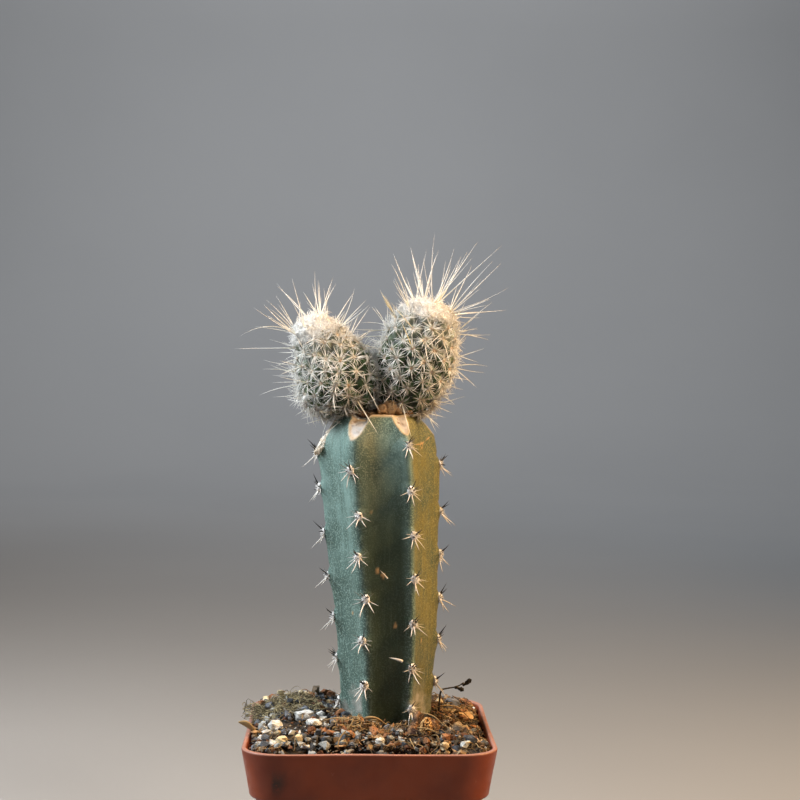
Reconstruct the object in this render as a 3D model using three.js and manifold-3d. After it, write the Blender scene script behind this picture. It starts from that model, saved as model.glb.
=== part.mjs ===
// Grafted cactus in a square plastic pot: two white-spined heads on one six-ribbed column.
// Millimetres, +Z up, front towards -Y, origin at the middle of the pot's base.
import * as THREE from "three";
import { ConvexGeometry } from "three/addons/geometries/ConvexGeometry.js";
import { mergeVertices } from "three/addons/utils/BufferGeometryUtils.js";
import Module from "manifold-3d";

const wasm = await Module();
wasm.setup();

// Driving dimensions. Every height is above the plane of the pot's rim.
// Every angle round the column is in degrees, from the front (-Y) towards +X.
const GAP = 0.3; // left between pieces that touch
const FULL_TURN = 2 * Math.PI;
const GOLDEN_ANGLE = Math.PI * (3 - Math.sqrt(5));

// Angular lumps: how far in their corners may lie, as a share of the radius, and how far they may turn.
const LUMP = { leastReach: 0.84, turn: 0.7 };

const POT = {
  height: 62,
  rimHalf: 34,
  cornerRadius: 9.2,
  wall: 1.2,
  floor: 1.5,
  lip: 0.3,
  lipDepth: 1.2,
  collarDepth: 12.4,
  collarHalf: 31.9,
  shoulderDepth: 13.6,
  shoulderHalf: 30.35,
  baseHalf: 25,
  baseEdge: 0.7,
  drainRadius: 3.5,
  drainOffset: 15,
};

const SOIL = {
  edge: -2.8, // height along the pot's wall
  rise: 6.3, // from the wall to the foot of the column
  slopeLength: 7,
  leftRise: 2.2, // the bed is heaped on its left side
  leftCentre: [-27, 4],
  leftSpread: [9, 14],
  unevenness: 0.35,
  surfaceRings: [1, 0.92, 0.8, 0.62, 0.42], // as shares of the inside half width
  socketEase: 0.05, // more room round the foot of the column than the gap alone
  looseSeat: 0.4, // how far a loose piece's middle stands above the bed, as a share of its half height
  grit: 84,
  gritRadius: [1.9, 3.6],
  gritCrowding: 0.8, // how close stones may lie, as a share of their radii together
  gritSeat: 0.3, // as looseSeat
};

const COLUMN = {
  ribs: 6,
  firstRib: 33.8,
  valleyRatio: 0.84,
  crestSharpness: 1.6,
  // [height, radius at the crest of a rib]
  crest: [[-27, 7], [-24, 10.5], [-15, 12], [0, 12.5], [14, 13.1], [24, 13.8], [34, 14.4], [43, 15.1],
    [59, 15.9], [69, 16.5], [77, 16.4], [80.4, 16], [83, 15.2], [85.5, 13.9], [87.5, 12]],
  // [height, x of the axis]
  lean: [[-27, 4.8], [24, 4.9], [34, 4.6], [43, 3.9], [59, 3.1], [69, 2.6], [78, 1.9], [87.5, 1.8]],
  rings: [-27, -24, -15, 0, 10, 20, 30, 40, 50, 60, 70, 77, 80.4, 83, 85.5, 87.5],
  top: 87.5,
  socketTop: 20, // the soil reaches no higher than this
  seatFoot: 60, // the heads reach no lower than this
  pointsPerRib: 6,
  // The end of each rib was cut back before grafting: [height where the cut starts], rib by rib.
  bevelFoot: [81.5, 81, 80.5, 81, 77.5, 80.4],
  bevelTopRadius: 10.4,
};

const AREOLE = {
  pitch: 11.9,
  topOdd: 78.6, // highest areole on the first rib and every second one after it
  topEven: 72.8,
  countOdd: 7,
  countEven: 6,
  padRadius: 1.2,
  padRise: 0.25,
  spineThickness: 0.6,
  padCorners: 8,
  spineFloor: 6.2, // the lowest spines stay above the grit
  turnSpread: 16,
  leanSpread: 10,
  lengthSpread: 0.24, // as a share of a spine's length
  heightSpread: 0.8,
  // [angle round the pad from sideways, angle from straight out, length]
  spines: [[-90, 62, 5.5], [-28, 66, 5.2], [-152, 66, 5.2], [40, 68, 4], [140, 68, 4]],
};

const HEAD_BASE = COLUMN.top + GAP;
const HEAD_PARTING = 1.5; // x of the plane where the two heads press together
const HEAD = {
  areoles: 90,
  dimple: 1.2,
  domeStart: 0.78,
  domeShare: 0.72, // the long spines fan out from this share of the axis
  longExtra: 34, // further long spines, tried over the upper skin
  longReach: [8, 14],
  radials: 3,
  radialLength: 4.2,
  radialSpread: 0.3, // as a share of a spine's length
  radialThickness: 0.55,
  radialLean: 60,
  leanSpread: 12,
  rootCloseness: 0.62, // how near to its areole a spine stands, from 0 to 1
  fanDepth: 22, // the measured long spines are spread over this much depth
  longThickness: 0.7,
  spineRoom: 0.72, // least distance between the middle lines of two spines
  columnRoom: 1.2, // least distance of a spine from the column
  bends: 6, // how often a spine is bent further before it is left out
  bendStep: 0.25,
};
// Each head's axis as [x, height] and its radius as [share of the axis, radius].
const LEFT_HEAD = {
  side: -1,
  axis: [[-5.4, 85.6], [-7.4, 90.6], [-10.7, 97.5], [-14, 104], [-16, 110], [-16.8, 115.6]],
  radius: [[0, 4.6], [0.08, 7.4], [0.2, 10.2], [0.38, 11.4], [0.6, 9.4], [0.78, 7.7], [1, 6.2]],
  seed: 11,
  // [x, height] at the tips of the long spines that fan out of the head.
  tips: [[-38.4, 105.1], [-36.8, 108.3], [-30.3, 101.9], [-31.4, 92.1], [-29.7, 117.4], [-26.9, 123.5],
    [-26.3, 117.7], [-22, 124.4], [-16.8, 123.6], [-15.9, 126.7], [-10.8, 125.6], [-10, 123.4],
    [-4.9, 122.2], [-1.7, 118.8], [-28.5, 107.7], [-33, 111.3], [-23, 89.4], [-20.4, 86]],
};
const RIGHT_HEAD = {
  side: 1,
  axis: [[8.4, 85.6], [10.4, 94], [12.4, 102], [14.6, 111], [16.7, 119.8]],
  radius: [[0, 4.4], [0.08, 7], [0.2, 9.4], [0.44, 10.7], [0.67, 9.9], [0.78, 8.9], [1, 7.4]],
  seed: 12,
  tips: [[2.1, 122], [4.8, 128.6], [5.7, 132], [10.6, 134.3], [15, 133], [16.7, 137.2], [18.7, 133.2],
    [22.4, 133.3], [25.1, 131.7], [29.5, 135.7], [35.7, 134.2], [32.7, 129.7], [36.2, 129.7],
    [37.4, 122.5], [38.5, 116.5], [33.4, 118.6], [31, 116], [33.3, 109.5], [29.6, 111.4], [32.6, 100.7],
    [30, 102], [28.6, 96.4]],
};

// Corky tissue where the heads have joined the column: [x, y, height, radius, half-thickness].
const CALLUS = [[2.2, -0.6, 88.2, 8.2, 1.5], [5.6, -6.4, 89.3, 2.3, 1.9], [3.4, -7, 88.9, 1.6, 1.4],
  [7.6, -5.9, 88.9, 1.8, 1.5], [1.4, 6.4, 89.1, 2.2, 1.7]];

const MOSS = {
  centre: [-22.6, 10.6],
  radii: [9, 8.4, 2.7],
  corners: 44,
  strands: 40,
  strandLength: [3.5, 7.5],
  strandClimb: [0.45, 1.05],
  strandThickness: 0.8,
  strandLift: 1.2, // least height of a strand above the bed
};

const SPRIG = {
  // [x, y, height] along the dry stem, then its leaf buds as [x, y, height, radius].
  stem: [[19.4, 2.2, -1.5], [19.9, 2.4, 4], [20.1, 2.6, 7.4], [20.6, 2.7, 9.2], [22.2, 2.8, 9.7],
    [24.1, 2.9, 10], [25.6, 3, 10.5], [26.8, 3, 11.3]],
  thickness: 0.9,
  buds: [[24.6, 2.9, 9.7, 0.9], [26.6, 2.9, 10, 1.2], [27.6, 3, 11.5, 1.3]],
};

// Loose pieces big enough to lift off by themselves: place [x, y], radii, turn and tilt in degrees.
const LOOSE_PIECES = [
  { name: "stone_pumice_long", at: [-18.1, -8], radii: [4.6, 2.1, 1.9], turn: 8, tilt: -8, colour: 0xb4b7b5 },
  { name: "stone_white_left", at: [-25.3, -15], radii: [2.7, 2.2, 1.9], turn: 30, tilt: 12, colour: 0xc9cac5 },
  { name: "stone_white_flat", at: [-15, -14.6], radii: [3.1, 2.2, 1.3], turn: -20, tilt: 5, colour: 0xd0d0ca },
  { name: "stone_cream_left", at: [-23.2, -26], radii: [2.1, 1.7, 1.6], turn: 15, tilt: 10, colour: 0xc7b795 },
  { name: "stone_slate_left", at: [-27.6, -21.6], radii: [2.2, 1.7, 1.2], turn: -35, tilt: 20, colour: 0x3b4048 },
  { name: "stone_grey_left", at: [-29.4, -9.4], radii: [1.8, 2, 1.5], turn: 0, tilt: 0, colour: 0x8b8a84 },
  { name: "stone_quartz_front", at: [2.7, -26], radii: [1.7, 1.5, 1.3], turn: 40, tilt: 0, colour: 0xd9d8d2 },
  { name: "stone_black_back", at: [-11.6, 17.5], radii: [2.8, 2.4, 2.2], turn: 20, tilt: 0, colour: 0x2b2a2a },
  { name: "bark_knot", at: [15.6, -18], radii: [3.3, 3, 2.9], turn: 10, tilt: 15, colour: 0x9a5a2c },
  { name: "bark_log", at: [10.4, -15.4], radii: [4.6, 1.6, 1.6], turn: -28, tilt: -24, colour: 0x3f2a1c },
  { name: "bark_chip_front", at: [2.8, -20.6], radii: [2.6, 1.7, 1], turn: 25, tilt: 14, colour: 0x8a4b22 },
  { name: "bark_chip_right", at: [27.4, 4.4], radii: [4.2, 3.2, 1.5], turn: 35, tilt: 8, colour: 0xa8662f },
  { name: "stone_purple_back", at: [24.6, 16.4], radii: [3.2, 2.6, 2], turn: -15, tilt: 0, colour: 0x6a5c60 },
  { name: "stone_tan_right", at: [24.4, -12], radii: [2.6, 2.2, 1.7], turn: 50, tilt: 6, colour: 0x9c8a72 },
  { name: "stone_black_right", at: [26.6, -24.6], radii: [2.7, 2.1, 1.7], turn: -10, tilt: 0, colour: 0x222326 },
  { name: "stone_cream_right", at: [19.6, -28.2], radii: [2, 1.6, 1.3], turn: 70, tilt: 0, colour: 0xbcae93 },
];

const FINISHES = {
  terracotta: new THREE.MeshStandardMaterial({ color: 0x8c4a3c, roughness: 0.5 }),
  grit: new THREE.MeshStandardMaterial({ color: 0x4a3d33, roughness: 0.95 }),
  columnSkin: new THREE.MeshStandardMaterial({ color: 0x4f7468, roughness: 0.62 }),
  headWool: new THREE.MeshStandardMaterial({ color: 0xb9b69a, roughness: 0.9 }),
  cork: new THREE.MeshStandardMaterial({ color: 0xb9773b, roughness: 0.85 }),
  moss: new THREE.MeshStandardMaterial({ color: 0x5b5232, roughness: 1 }),
  dryStem: new THREE.MeshStandardMaterial({ color: 0x2e2620, roughness: 0.9 }),
};

const radians = THREE.MathUtils.degToRad;
const point = (x, y, z) => new THREE.Vector3(x, y, z);
const UP = point(0, 0, 1);

// A repeatable source of numbers from 0 to 1.
function numbersFrom(seed) {
  let state = seed * 2654435761;
  return () => {
    state = (state + 0x6d2b79f5) | 0;
    let mixed = Math.imul(state ^ (state >>> 15), state | 1);
    mixed ^= mixed + Math.imul(mixed ^ (mixed >>> 7), mixed | 61);
    return ((mixed ^ (mixed >>> 14)) >>> 0) / 4294967296;
  };
}

// A smooth value at x through the rows [x, value] of a table.
function smoothAt(table, x) {
  const last = table.length - 1;
  const at = THREE.MathUtils.clamp(x, table[0][0], table[last][0]);
  let row = 0;
  while (row < last - 1 && at > table[row + 1][0]) row++;
  const slope = (k) => {
    const [before, after] = [table[Math.max(k - 1, 0)], table[Math.min(k + 1, last)]];
    return (after[1] - before[1]) / (after[0] - before[0]);
  };
  const [x0, value0] = table[row];
  const [x1, value1] = table[row + 1];
  const width = x1 - x0;
  const t = (at - x0) / width;
  const rising = t * (1 - t) * (1 - t) * width * slope(row);
  const falling = t * t * (1 - t) * width * slope(row + 1);
  return (1 + 2 * t) * (1 - t) * (1 - t) * value0 + rising + t * t * (3 - 2 * t) * value1 - falling;
}

// A value at x on straight lines through the rows [x, value] of a table.
function straightAt(table, x) {
  let row = 0;
  while (row < table.length - 2 && x > table[row + 1][0]) row++;
  const [x0, value0] = table[row];
  const [x1, value1] = table[row + 1];
  return THREE.MathUtils.mapLinear(x, x0, x1, value0, value1);
}

function geometryOf(points, faces) {
  const geometry = new THREE.BufferGeometry().setFromPoints(points);
  geometry.setIndex(faces);
  return geometry;
}

// A closed geometry as a solid that can be joined and cut.
function solidOf(geometry) {
  const bare = geometry.clone();
  bare.deleteAttribute("normal");
  bare.deleteAttribute("uv");
  const merged = mergeVertices(bare, 1e-4);
  return new wasm.Manifold(new wasm.Mesh({
    numProp: 3,
    vertProperties: new Float32Array(merged.attributes.position.array),
    triVerts: new Uint32Array(merged.index.array),
  }));
}

const join = (solids) => solids.reduce((whole, solid) => whole.add(solid));

// The largest body of a solid: cutting can leave loose scraps, which are dropped.
function largestBody(solid) {
  return solid.decompose().reduce((best, body) => (body.volume() > best.volume() ? body : best));
}

// The half of a solid on the inner side of a plane, given by its outward normal and a point on it.
function cutByPlane(solid, normal, through) {
  const inward = normal.clone().negate();
  return solid.trimByPlane(inward.toArray(), inward.dot(through));
}

// A closed skin over rings of points, each counter-clockwise from above, with a fan at both ends.
function loft(rings) {
  const sides = rings[0].length;
  const points = rings.flat();
  const faces = [];
  const centre = (ring) => ring.reduce((sum, p) => sum.add(p), point(0, 0, 0)).divideScalar(sides);
  const first = points.push(centre(rings[0])) - 1;
  const last = points.push(centre(rings.at(-1))) - 1;
  const topStart = (rings.length - 1) * sides;
  for (let side = 0; side < sides; side++) {
    const next = (side + 1) % sides;
    for (let level = 0; level < topStart; level += sides) {
      const [a, b] = [level + side, level + next];
      faces.push(a, b, b + sides, a, b + sides, a + sides);
    }
    faces.push(first, next, side, last, topStart + side, topStart + next);
  }
  return solidOf(geometryOf(points, faces));
}

// A square ring with round corners, whose height is a number or a function of x and y.
function squareRing(half, height, cornerSteps = 4, sideSteps = 1) {
  const radius = (POT.cornerRadius * half) / POT.rimHalf;
  const ring = [];
  const place = (x, y) => ring.push(point(x, y, typeof height === "function" ? height(x, y) : height));
  for (let corner = 0; corner < 4; corner++) {
    const quarter = corner * Math.PI / 2;
    const centre = new THREE.Vector2(half - radius, half - radius).rotateAround(new THREE.Vector2(), quarter);
    for (let step = 0; step <= cornerSteps; step++) {
      const angle = quarter + (step / cornerSteps) * Math.PI / 2;
      place(centre.x + radius * Math.cos(angle), centre.y + radius * Math.sin(angle));
    }
    const along = new THREE.Vector2(-2 * (half - radius), 0).rotateAround(new THREE.Vector2(), quarter);
    const start = ring.at(-1).clone();
    for (let step = 1; step < sideSteps; step++) {
      place(start.x + (along.x * step) / sideSteps, start.y + (along.y * step) / sideSteps);
    }
  }
  return ring;
}

// The hull of some points, as its corners and triangles.
function hullOf(scattered) {
  const hull = mergeVertices(new ConvexGeometry(scattered).deleteAttribute("normal"), 1e-4);
  const position = hull.attributes.position;
  const points = Array.from({ length: position.count }, (_, i) => point().fromBufferAttribute(position, i));
  return { points, faces: Array.from(hull.index.array) };
}

// A closed skin with a straight three-sided spine raised from some of its faces.
// Each spine is { face, root, direction, length, thickness } and stands on a small triangle round its root.
function spinySkin({ points, faces }, spines) {
  const bearing = new Map(spines.map((spine) => [spine.face, spine]));
  const corners = [...points];
  const skin = [];
  for (let face = 0; face < faces.length / 3; face++) {
    const around = faces.slice(3 * face, 3 * face + 3);
    const spine = bearing.get(face);
    if (!spine) {
      skin.push(...around);
      continue;
    }
    const { root, direction, length, thickness } = spine;
    const tip = corners.push(root.clone().addScaledVector(direction, length)) - 1;
    const foot = around.map((corner) =>
      corners.push(corners[corner].clone().sub(root).setLength(thickness / 2).add(root)) - 1);
    for (let k = 0; k < 3; k++) {
      const next = (k + 1) % 3;
      skin.push(around[k], around[next], foot[next], around[k], foot[next], foot[k], foot[k], foot[next], tip);
    }
  }
  return solidOf(geometryOf(corners, skin));
}

function faceNormal({ points, faces }, face) {
  const [a, b, c] = [0, 1, 2].map((k) => points[faces[3 * face + k]]);
  return b.clone().sub(a).cross(c.clone().sub(a)).normalize();
}

function faceMiddle({ points, faces }, face) {
  const sum = [0, 1, 2].reduce((total, k) => total.add(points[faces[3 * face + k]]), point(0, 0, 0));
  return sum.divideScalar(3);
}

// The face without a spine yet that looks most nearly along a direction.
function faceTowards(hull, direction, taken) {
  let best = -1;
  for (let face = 0; face < hull.faces.length / 3; face++) {
    if (taken.has(face)) continue;
    if (best < 0 || faceNormal(hull, face).dot(direction) > faceNormal(hull, best).dot(direction)) best = face;
  }
  taken.add(best);
  return best;
}

// A number spread evenly round nought over a width.
const spread = (random, width) => width * (random() - 0.5);

// Points scattered over an ellipsoid.
function scatter(centre, radii, corners, random, rotation = new THREE.Euler()) {
  const points = [];
  for (let i = 0; i < corners; i++) {
    const height = 1 - (2 * i + 1) / corners;
    const reach = THREE.MathUtils.lerp(LUMP.leastReach, 1, random());
    const angle = i * GOLDEN_ANGLE + LUMP.turn * random();
    const flat = Math.sqrt(1 - height * height);
    const onSphere = point(flat * Math.cos(angle), flat * Math.sin(angle), height).multiplyScalar(reach);
    points.push(onSphere.multiply(radii).applyEuler(rotation).add(centre));
  }
  return points;
}

// An angular lump: the hull of points scattered over an ellipsoid.
const lump = (...shape) => solidOf(new ConvexGeometry(scatter(...shape)));

// A round stem along a smooth line through some points.
function stem(points, thickness, sides, steps) {
  const outline = new THREE.Shape();
  for (let i = 0; i < sides; i++) {
    const angle = (i / sides) * FULL_TURN;
    const [x, y] = [(Math.cos(angle) * thickness) / 2, (Math.sin(angle) * thickness) / 2];
    if (i === 0) outline.moveTo(x, y);
    else outline.lineTo(x, y);
  }
  outline.closePath();
  const extrudePath = new THREE.CatmullRomCurve3(points.map((p) => point(...p)), false, "centripetal");
  return solidOf(new THREE.ExtrudeGeometry(outline, { steps, extrudePath, bevelEnabled: false, curveSegments: 1 }));
}

// The pot
const POT_INSIDE = [
  [POT.floor - POT.height, POT.baseHalf - POT.wall + 0.1],
  [-POT.shoulderDepth - POT.wall / 2, POT.shoulderHalf - POT.wall],
  [-POT.collarDepth - POT.wall / 4, POT.collarHalf - POT.wall],
  [0, POT.rimHalf - POT.wall],
];

function makePot() {
  const outside = [
    [-POT.height, POT.baseHalf - POT.baseEdge],
    [-POT.height + POT.baseEdge, POT.baseHalf],
    [-POT.shoulderDepth, POT.shoulderHalf],
    [-POT.collarDepth, POT.collarHalf],
    [-POT.lipDepth - POT.lip, POT.rimHalf - POT.lip],
    [-POT.lipDepth, POT.rimHalf],
    [-POT.lip, POT.rimHalf],
    [0, POT.rimHalf - POT.lip],
  ];
  const profile = [...outside, ...POT_INSIDE.toReversed()];
  let pot = loft(profile.map(([height, half]) => squareRing(half, height)));
  for (const [x, y] of [[1, 1], [-1, 1], [-1, -1], [1, -1]]) {
    const drain = new THREE.CylinderGeometry(POT.drainRadius, POT.drainRadius, 4 * POT.floor, 20);
    drain.rotateX(Math.PI / 2);
    drain.translate(x * POT.drainOffset, y * POT.drainOffset, -POT.height);
    pot = pot.subtract(solidOf(drain));
  }
  return pot;
}

// The column
function columnRadius(angle, height, grow) {
  const phase = COLUMN.ribs * (angle - radians(COLUMN.firstRib));
  const swell = ((1 + Math.cos(phase)) / 2) ** COLUMN.crestSharpness;
  const share = COLUMN.valleyRatio + (1 - COLUMN.valleyRatio) * swell;
  return smoothAt(COLUMN.crest, height) * share + grow;
}

const outward = (angle) => point(Math.sin(angle), -Math.cos(angle), 0);

function columnPoint(angle, height, grow = 0) {
  const axis = point(smoothAt(COLUMN.lean, height), 0, height);
  return axis.addScaledVector(outward(angle), columnRadius(angle, height, grow));
}

function columnBody(grow, heights) {
  const count = COLUMN.ribs * COLUMN.pointsPerRib;
  const start = radians(COLUMN.firstRib);
  return loft(heights.map((height) => Array.from({ length: count }, (_, i) =>
    columnPoint(start + (i / count) * FULL_TURN, height, grow))));
}

// Whether a place lies in the column, or closer to it than the margin.
function nearColumn(place, margin) {
  if (place.z > COLUMN.top + margin) return false;
  const x = place.x - smoothAt(COLUMN.lean, place.z);
  return Math.hypot(x, place.y) < columnRadius(Math.atan2(x, -place.y), place.z, 0) + margin;
}

function ribAngle(rib) {
  return radians(COLUMN.firstRib + (rib * 360) / COLUMN.ribs);
}

function cutRibEnd(column, rib) {
  const foot = COLUMN.bevelFoot[rib];
  const low = columnPoint(ribAngle(rib), foot);
  const high = point(smoothAt(COLUMN.lean, COLUMN.top), 0, COLUMN.top)
    .addScaledVector(outward(ribAngle(rib)), COLUMN.bevelTopRadius);
  const sideways = UP.clone().cross(outward(ribAngle(rib)));
  const normal = sideways.cross(high.sub(low)).normalize();
  return cutByPlane(column, normal, low);
}

// A felt pad on a rib's crest, with its star of short spines.
function makeAreole(rib, height, random) {
  const out = outward(ribAngle(rib));
  const side = UP.clone().cross(out);
  const middle = columnPoint(ribAngle(rib), height).addScaledVector(out, AREOLE.padRise);
  const radii = point(1, 1, 1).multiplyScalar(AREOLE.padRadius);
  const pad = hullOf(scatter(middle, radii, AREOLE.padCorners, random));
  const taken = new Set();
  const spines = AREOLE.spines.map(([round, fromOut, full]) => {
    const angle = radians(round + spread(random, AREOLE.turnSpread));
    const lean = radians(fromOut + spread(random, AREOLE.leanSpread));
    const length = full * (1 + spread(random, AREOLE.lengthSpread));
    const direction = out.clone().multiplyScalar(Math.cos(lean))
      .addScaledVector(side, Math.sin(lean) * Math.cos(angle))
      .addScaledVector(UP, Math.sin(lean) * Math.sin(angle));
    direction.z = Math.max(direction.z, (AREOLE.spineFloor - middle.z) / length);
    const face = faceTowards(pad, direction.normalize(), taken);
    return { face, root: faceMiddle(pad, face), direction, length, thickness: AREOLE.spineThickness };
  });
  return spinySkin(pad, spines);
}

function makeColumn() {
  const random = numbersFrom(3);
  let column = columnBody(0, COLUMN.rings);
  const pieces = [];
  for (let rib = 0; rib < COLUMN.ribs; rib++) {
    column = cutRibEnd(column, rib);
    const [top, count] = rib % 2 === 0 ? [AREOLE.topOdd, AREOLE.countOdd] : [AREOLE.topEven, AREOLE.countEven];
    for (let i = 0; i < count; i++) {
      const height = top - i * AREOLE.pitch + spread(random, AREOLE.heightSpread);
      pieces.push(makeAreole(rib, height, random));
    }
  }
  return largestBody(join([column, ...pieces]));
}

// The heads
function headAxis(head) {
  return new THREE.CatmullRomCurve3(head.axis.map(([x, height]) => point(x, 0, height)), false, "centripetal");
}

function headRadius(head, share) {
  const dome = Math.max(0, (share - HEAD.domeStart) / (1 - HEAD.domeStart));
  return smoothAt(head.radius, share) * Math.sqrt(Math.max(0, 1 - dome * dome));
}

// The place on the head's skin at a share of its area, counted from the tip, and an angle round the axis,
// with the outward direction and the axis's own direction there.
function headSkin(head, skinShare, angle) {
  const axis = headAxis(head);
  const share = straightAt(head.skin, skinShare);
  const along = axis.getTangentAt(share);
  const side = point(0, 1, 0).cross(along).normalize();
  const radial = side.multiplyScalar(Math.cos(angle)).addScaledVector(point(0, 1, 0), Math.sin(angle));
  const place = axis.getPointAt(share).addScaledVector(radial, headRadius(head, share));
  const step = 0.01;
  const [low, high] = [Math.max(0, share - step), Math.min(1, share + step)];
  const slope = (headRadius(head, low) - headRadius(head, high)) / ((high - low) * axis.getLength());
  return { place, normal: radial.addScaledVector(along, slope).normalize(), along };
}

// Rows [share of the skin counted from the tip, share of the axis], so that areoles spread evenly.
function skinTable(head) {
  const steps = 48;
  const length = headAxis(head).getLength();
  const rows = [[0, 1]];
  for (let i = 1; i <= steps; i++) {
    const [above, below] = [1 - (i - 1) / steps, 1 - i / steps];
    const [r0, r1] = [headRadius(head, above), headRadius(head, below)];
    const area = (r0 + r1) * Math.hypot(length / steps, r1 - r0);
    rows.push([rows.at(-1)[0] + area, below]);
  }
  return rows.map(([area, share]) => [area / rows.at(-1)[0], share]);
}

// The head's flesh: areoles in spirals on raised points, with a dimple between each three of them.
// Its first points are the areoles, each with its outward direction.
function headFlesh(head) {
  const onSphere = [];
  for (let i = 0; i < HEAD.areoles; i++) {
    const height = 1 - (2 * i + 1) / HEAD.areoles;
    const flat = Math.sqrt(1 - height * height);
    onSphere.push(point(flat * Math.cos(i * GOLDEN_ANGLE), flat * Math.sin(i * GOLDEN_ANGLE), height));
  }
  const hull = hullOf(onSphere);
  const areoles = hull.points.map((p) => headSkin(head, (1 - p.z) / 2, Math.atan2(p.y, p.x)));
  const points = areoles.map((areole) => areole.place);
  const coarse = { points, faces: hull.faces };
  const faces = [];
  for (let face = 0; face < hull.faces.length / 3; face++) {
    const [a, b, c] = hull.faces.slice(3 * face, 3 * face + 3);
    const bottom = faceMiddle(coarse, face).addScaledVector(faceNormal(coarse, face), -HEAD.dimple);
    const dimple = points.push(bottom) - 1;
    faces.push(a, b, dimple, b, c, dimple, c, a, dimple);
  }
  return { points, faces, areoles };
}

// The least distance between the middle lines of two spines.
function spineDistance(one, other) {
  const between = one.root.clone().sub(other.root);
  const cosine = one.direction.dot(other.direction);
  const [alongOne, alongOther] = [one.direction.dot(between), other.direction.dot(between)];
  const slant = Math.max(1 - cosine * cosine, 1e-6);
  const clamp = THREE.MathUtils.clamp;
  const first = clamp((cosine * alongOther - alongOne) / slant, 0, one.length);
  const onOther = clamp(alongOther + first * cosine, 0, other.length);
  const onOne = clamp(onOther * cosine - alongOne, 0, one.length);
  return between.addScaledVector(one.direction, onOne).addScaledVector(other.direction, -onOther).length();
}

// Whether a spine keeps to its own side of the parting plane and clear of the column and the others.
function spineIsClear(head, spine, others) {
  const tip = spine.root.clone().addScaledVector(spine.direction, spine.length);
  if (head.side * (tip.x - HEAD_PARTING) < GAP + HEAD.longThickness / 2) return false;
  if ([0.35, 0.7, 1].some((share) => nearColumn(spine.root.clone().lerp(tip, share), HEAD.columnRoom))) {
    return false;
  }
  return others.every((other) => spineDistance(spine, other) > HEAD.spineRoom);
}

// Adds a spine, bent upwards and away from the other head until it is clear, if it ever is.
function addSpine(head, spines, spine) {
  const away = point(0.5 * head.side, 0, 0.35);
  const straight = spine.direction.clone();
  for (let bend = 0; bend < HEAD.bends; bend++) {
    spine.direction = straight.clone().addScaledVector(away, bend * HEAD.bendStep).normalize();
    if (spineIsClear(head, spine, spines)) {
      spines.push(spine);
      return true;
    }
  }
  return false;
}

// The faces that meet at an areole, each with a root near the areole and the way it lies from it.
function facesRound(flesh, areole) {
  const corner = flesh.areoles.indexOf(areole);
  const faces = [];
  for (let face = 0; face < flesh.faces.length / 3; face++) {
    const corners = flesh.faces.slice(3 * face, 3 * face + 3);
    if (!corners.includes(corner)) continue;
    const rim = corners.filter((k) => k !== corner).map((k) => flesh.points[k]);
    const root = rim[0].clone().lerp(rim[1], 0.5).lerp(areole.place, HEAD.rootCloseness);
    const sideways = root.clone().sub(areole.place).projectOnPlane(areole.normal).normalize();
    faces.push({ face, root, sideways });
  }
  return faces;
}

// Tries a spine on each face round an areole, the ones nearest to the wanted way first.
function growOn(head, flesh, spines, areole, wanted, direct, length, thickness) {
  const faces = facesRound(flesh, areole).filter(({ face }) => spines.every((spine) => spine.face !== face));
  faces.sort((a, b) => b.sideways.dot(wanted) - a.sideways.dot(wanted));
  return faces.slice(0, 4).some(({ face, root, sideways }) =>
    addSpine(head, spines, { face, root, direction: direct(root, sideways), length, thickness }));
}

// The long spines: the measured fan, then others like it towards the front and the back.
function addLongSpines(head, flesh, spines, random) {
  const free = [...flesh.areoles];
  const middle = headAxis(head).getPointAt(HEAD.domeShare);
  const upward = headAxis(head).getTangentAt(0.9);
  const tips = head.tips.map(([x, height], i) => {
    const depth = ((i * 0.618) % 1) - 0.5;
    return point(x, HEAD.fanDepth * depth, height);
  });
  for (let i = 0; i < HEAD.longExtra; i++) {
    const { place, normal } = headSkin(head, (0.75 * (i + 1)) / HEAD.longExtra, i * GOLDEN_ANGLE + 0.5);
    if (Math.abs(normal.y) < 0.3) continue;
    const direction = normal.clone().addScaledVector(upward, 0.3).normalize();
    tips.push(place.addScaledVector(direction, THREE.MathUtils.lerp(...HEAD.longReach, random())));
  }
  for (const tip of tips) {
    const wanted = tip.clone().sub(middle).normalize();
    const closeness = (areole) => areole.place.clone().sub(middle).normalize().dot(wanted);
    free.sort((a, b) => closeness(b) - closeness(a));
    const areole = free.shift();
    const length = tip.distanceTo(areole.place);
    const direct = (root) => tip.clone().sub(root).normalize();
    growOn(head, flesh, spines, areole, wanted, direct, length, HEAD.longThickness);
  }
}

// Short radial spines, a few round each areole.
function addRadialSpines(head, flesh, spines, random) {
  for (const areole of flesh.areoles) {
    if (areole.place.z < HEAD_BASE) continue;
    const across = areole.normal.clone().cross(areole.along).normalize();
    const twist = random() * FULL_TURN;
    for (let k = 0; k < HEAD.radials; k++) {
      const wanted = across.clone().applyAxisAngle(areole.normal, twist + (k / HEAD.radials) * FULL_TURN);
      const lean = radians(HEAD.radialLean + spread(random, HEAD.leanSpread));
      const length = HEAD.radialLength * (1 + spread(random, HEAD.radialSpread));
      const direct = (root, sideways) => areole.normal.clone().multiplyScalar(Math.cos(lean))
        .addScaledVector(sideways, Math.sin(lean));
      growOn(head, flesh, spines, areole, wanted, direct, length, HEAD.radialThickness);
    }
  }
}

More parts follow.
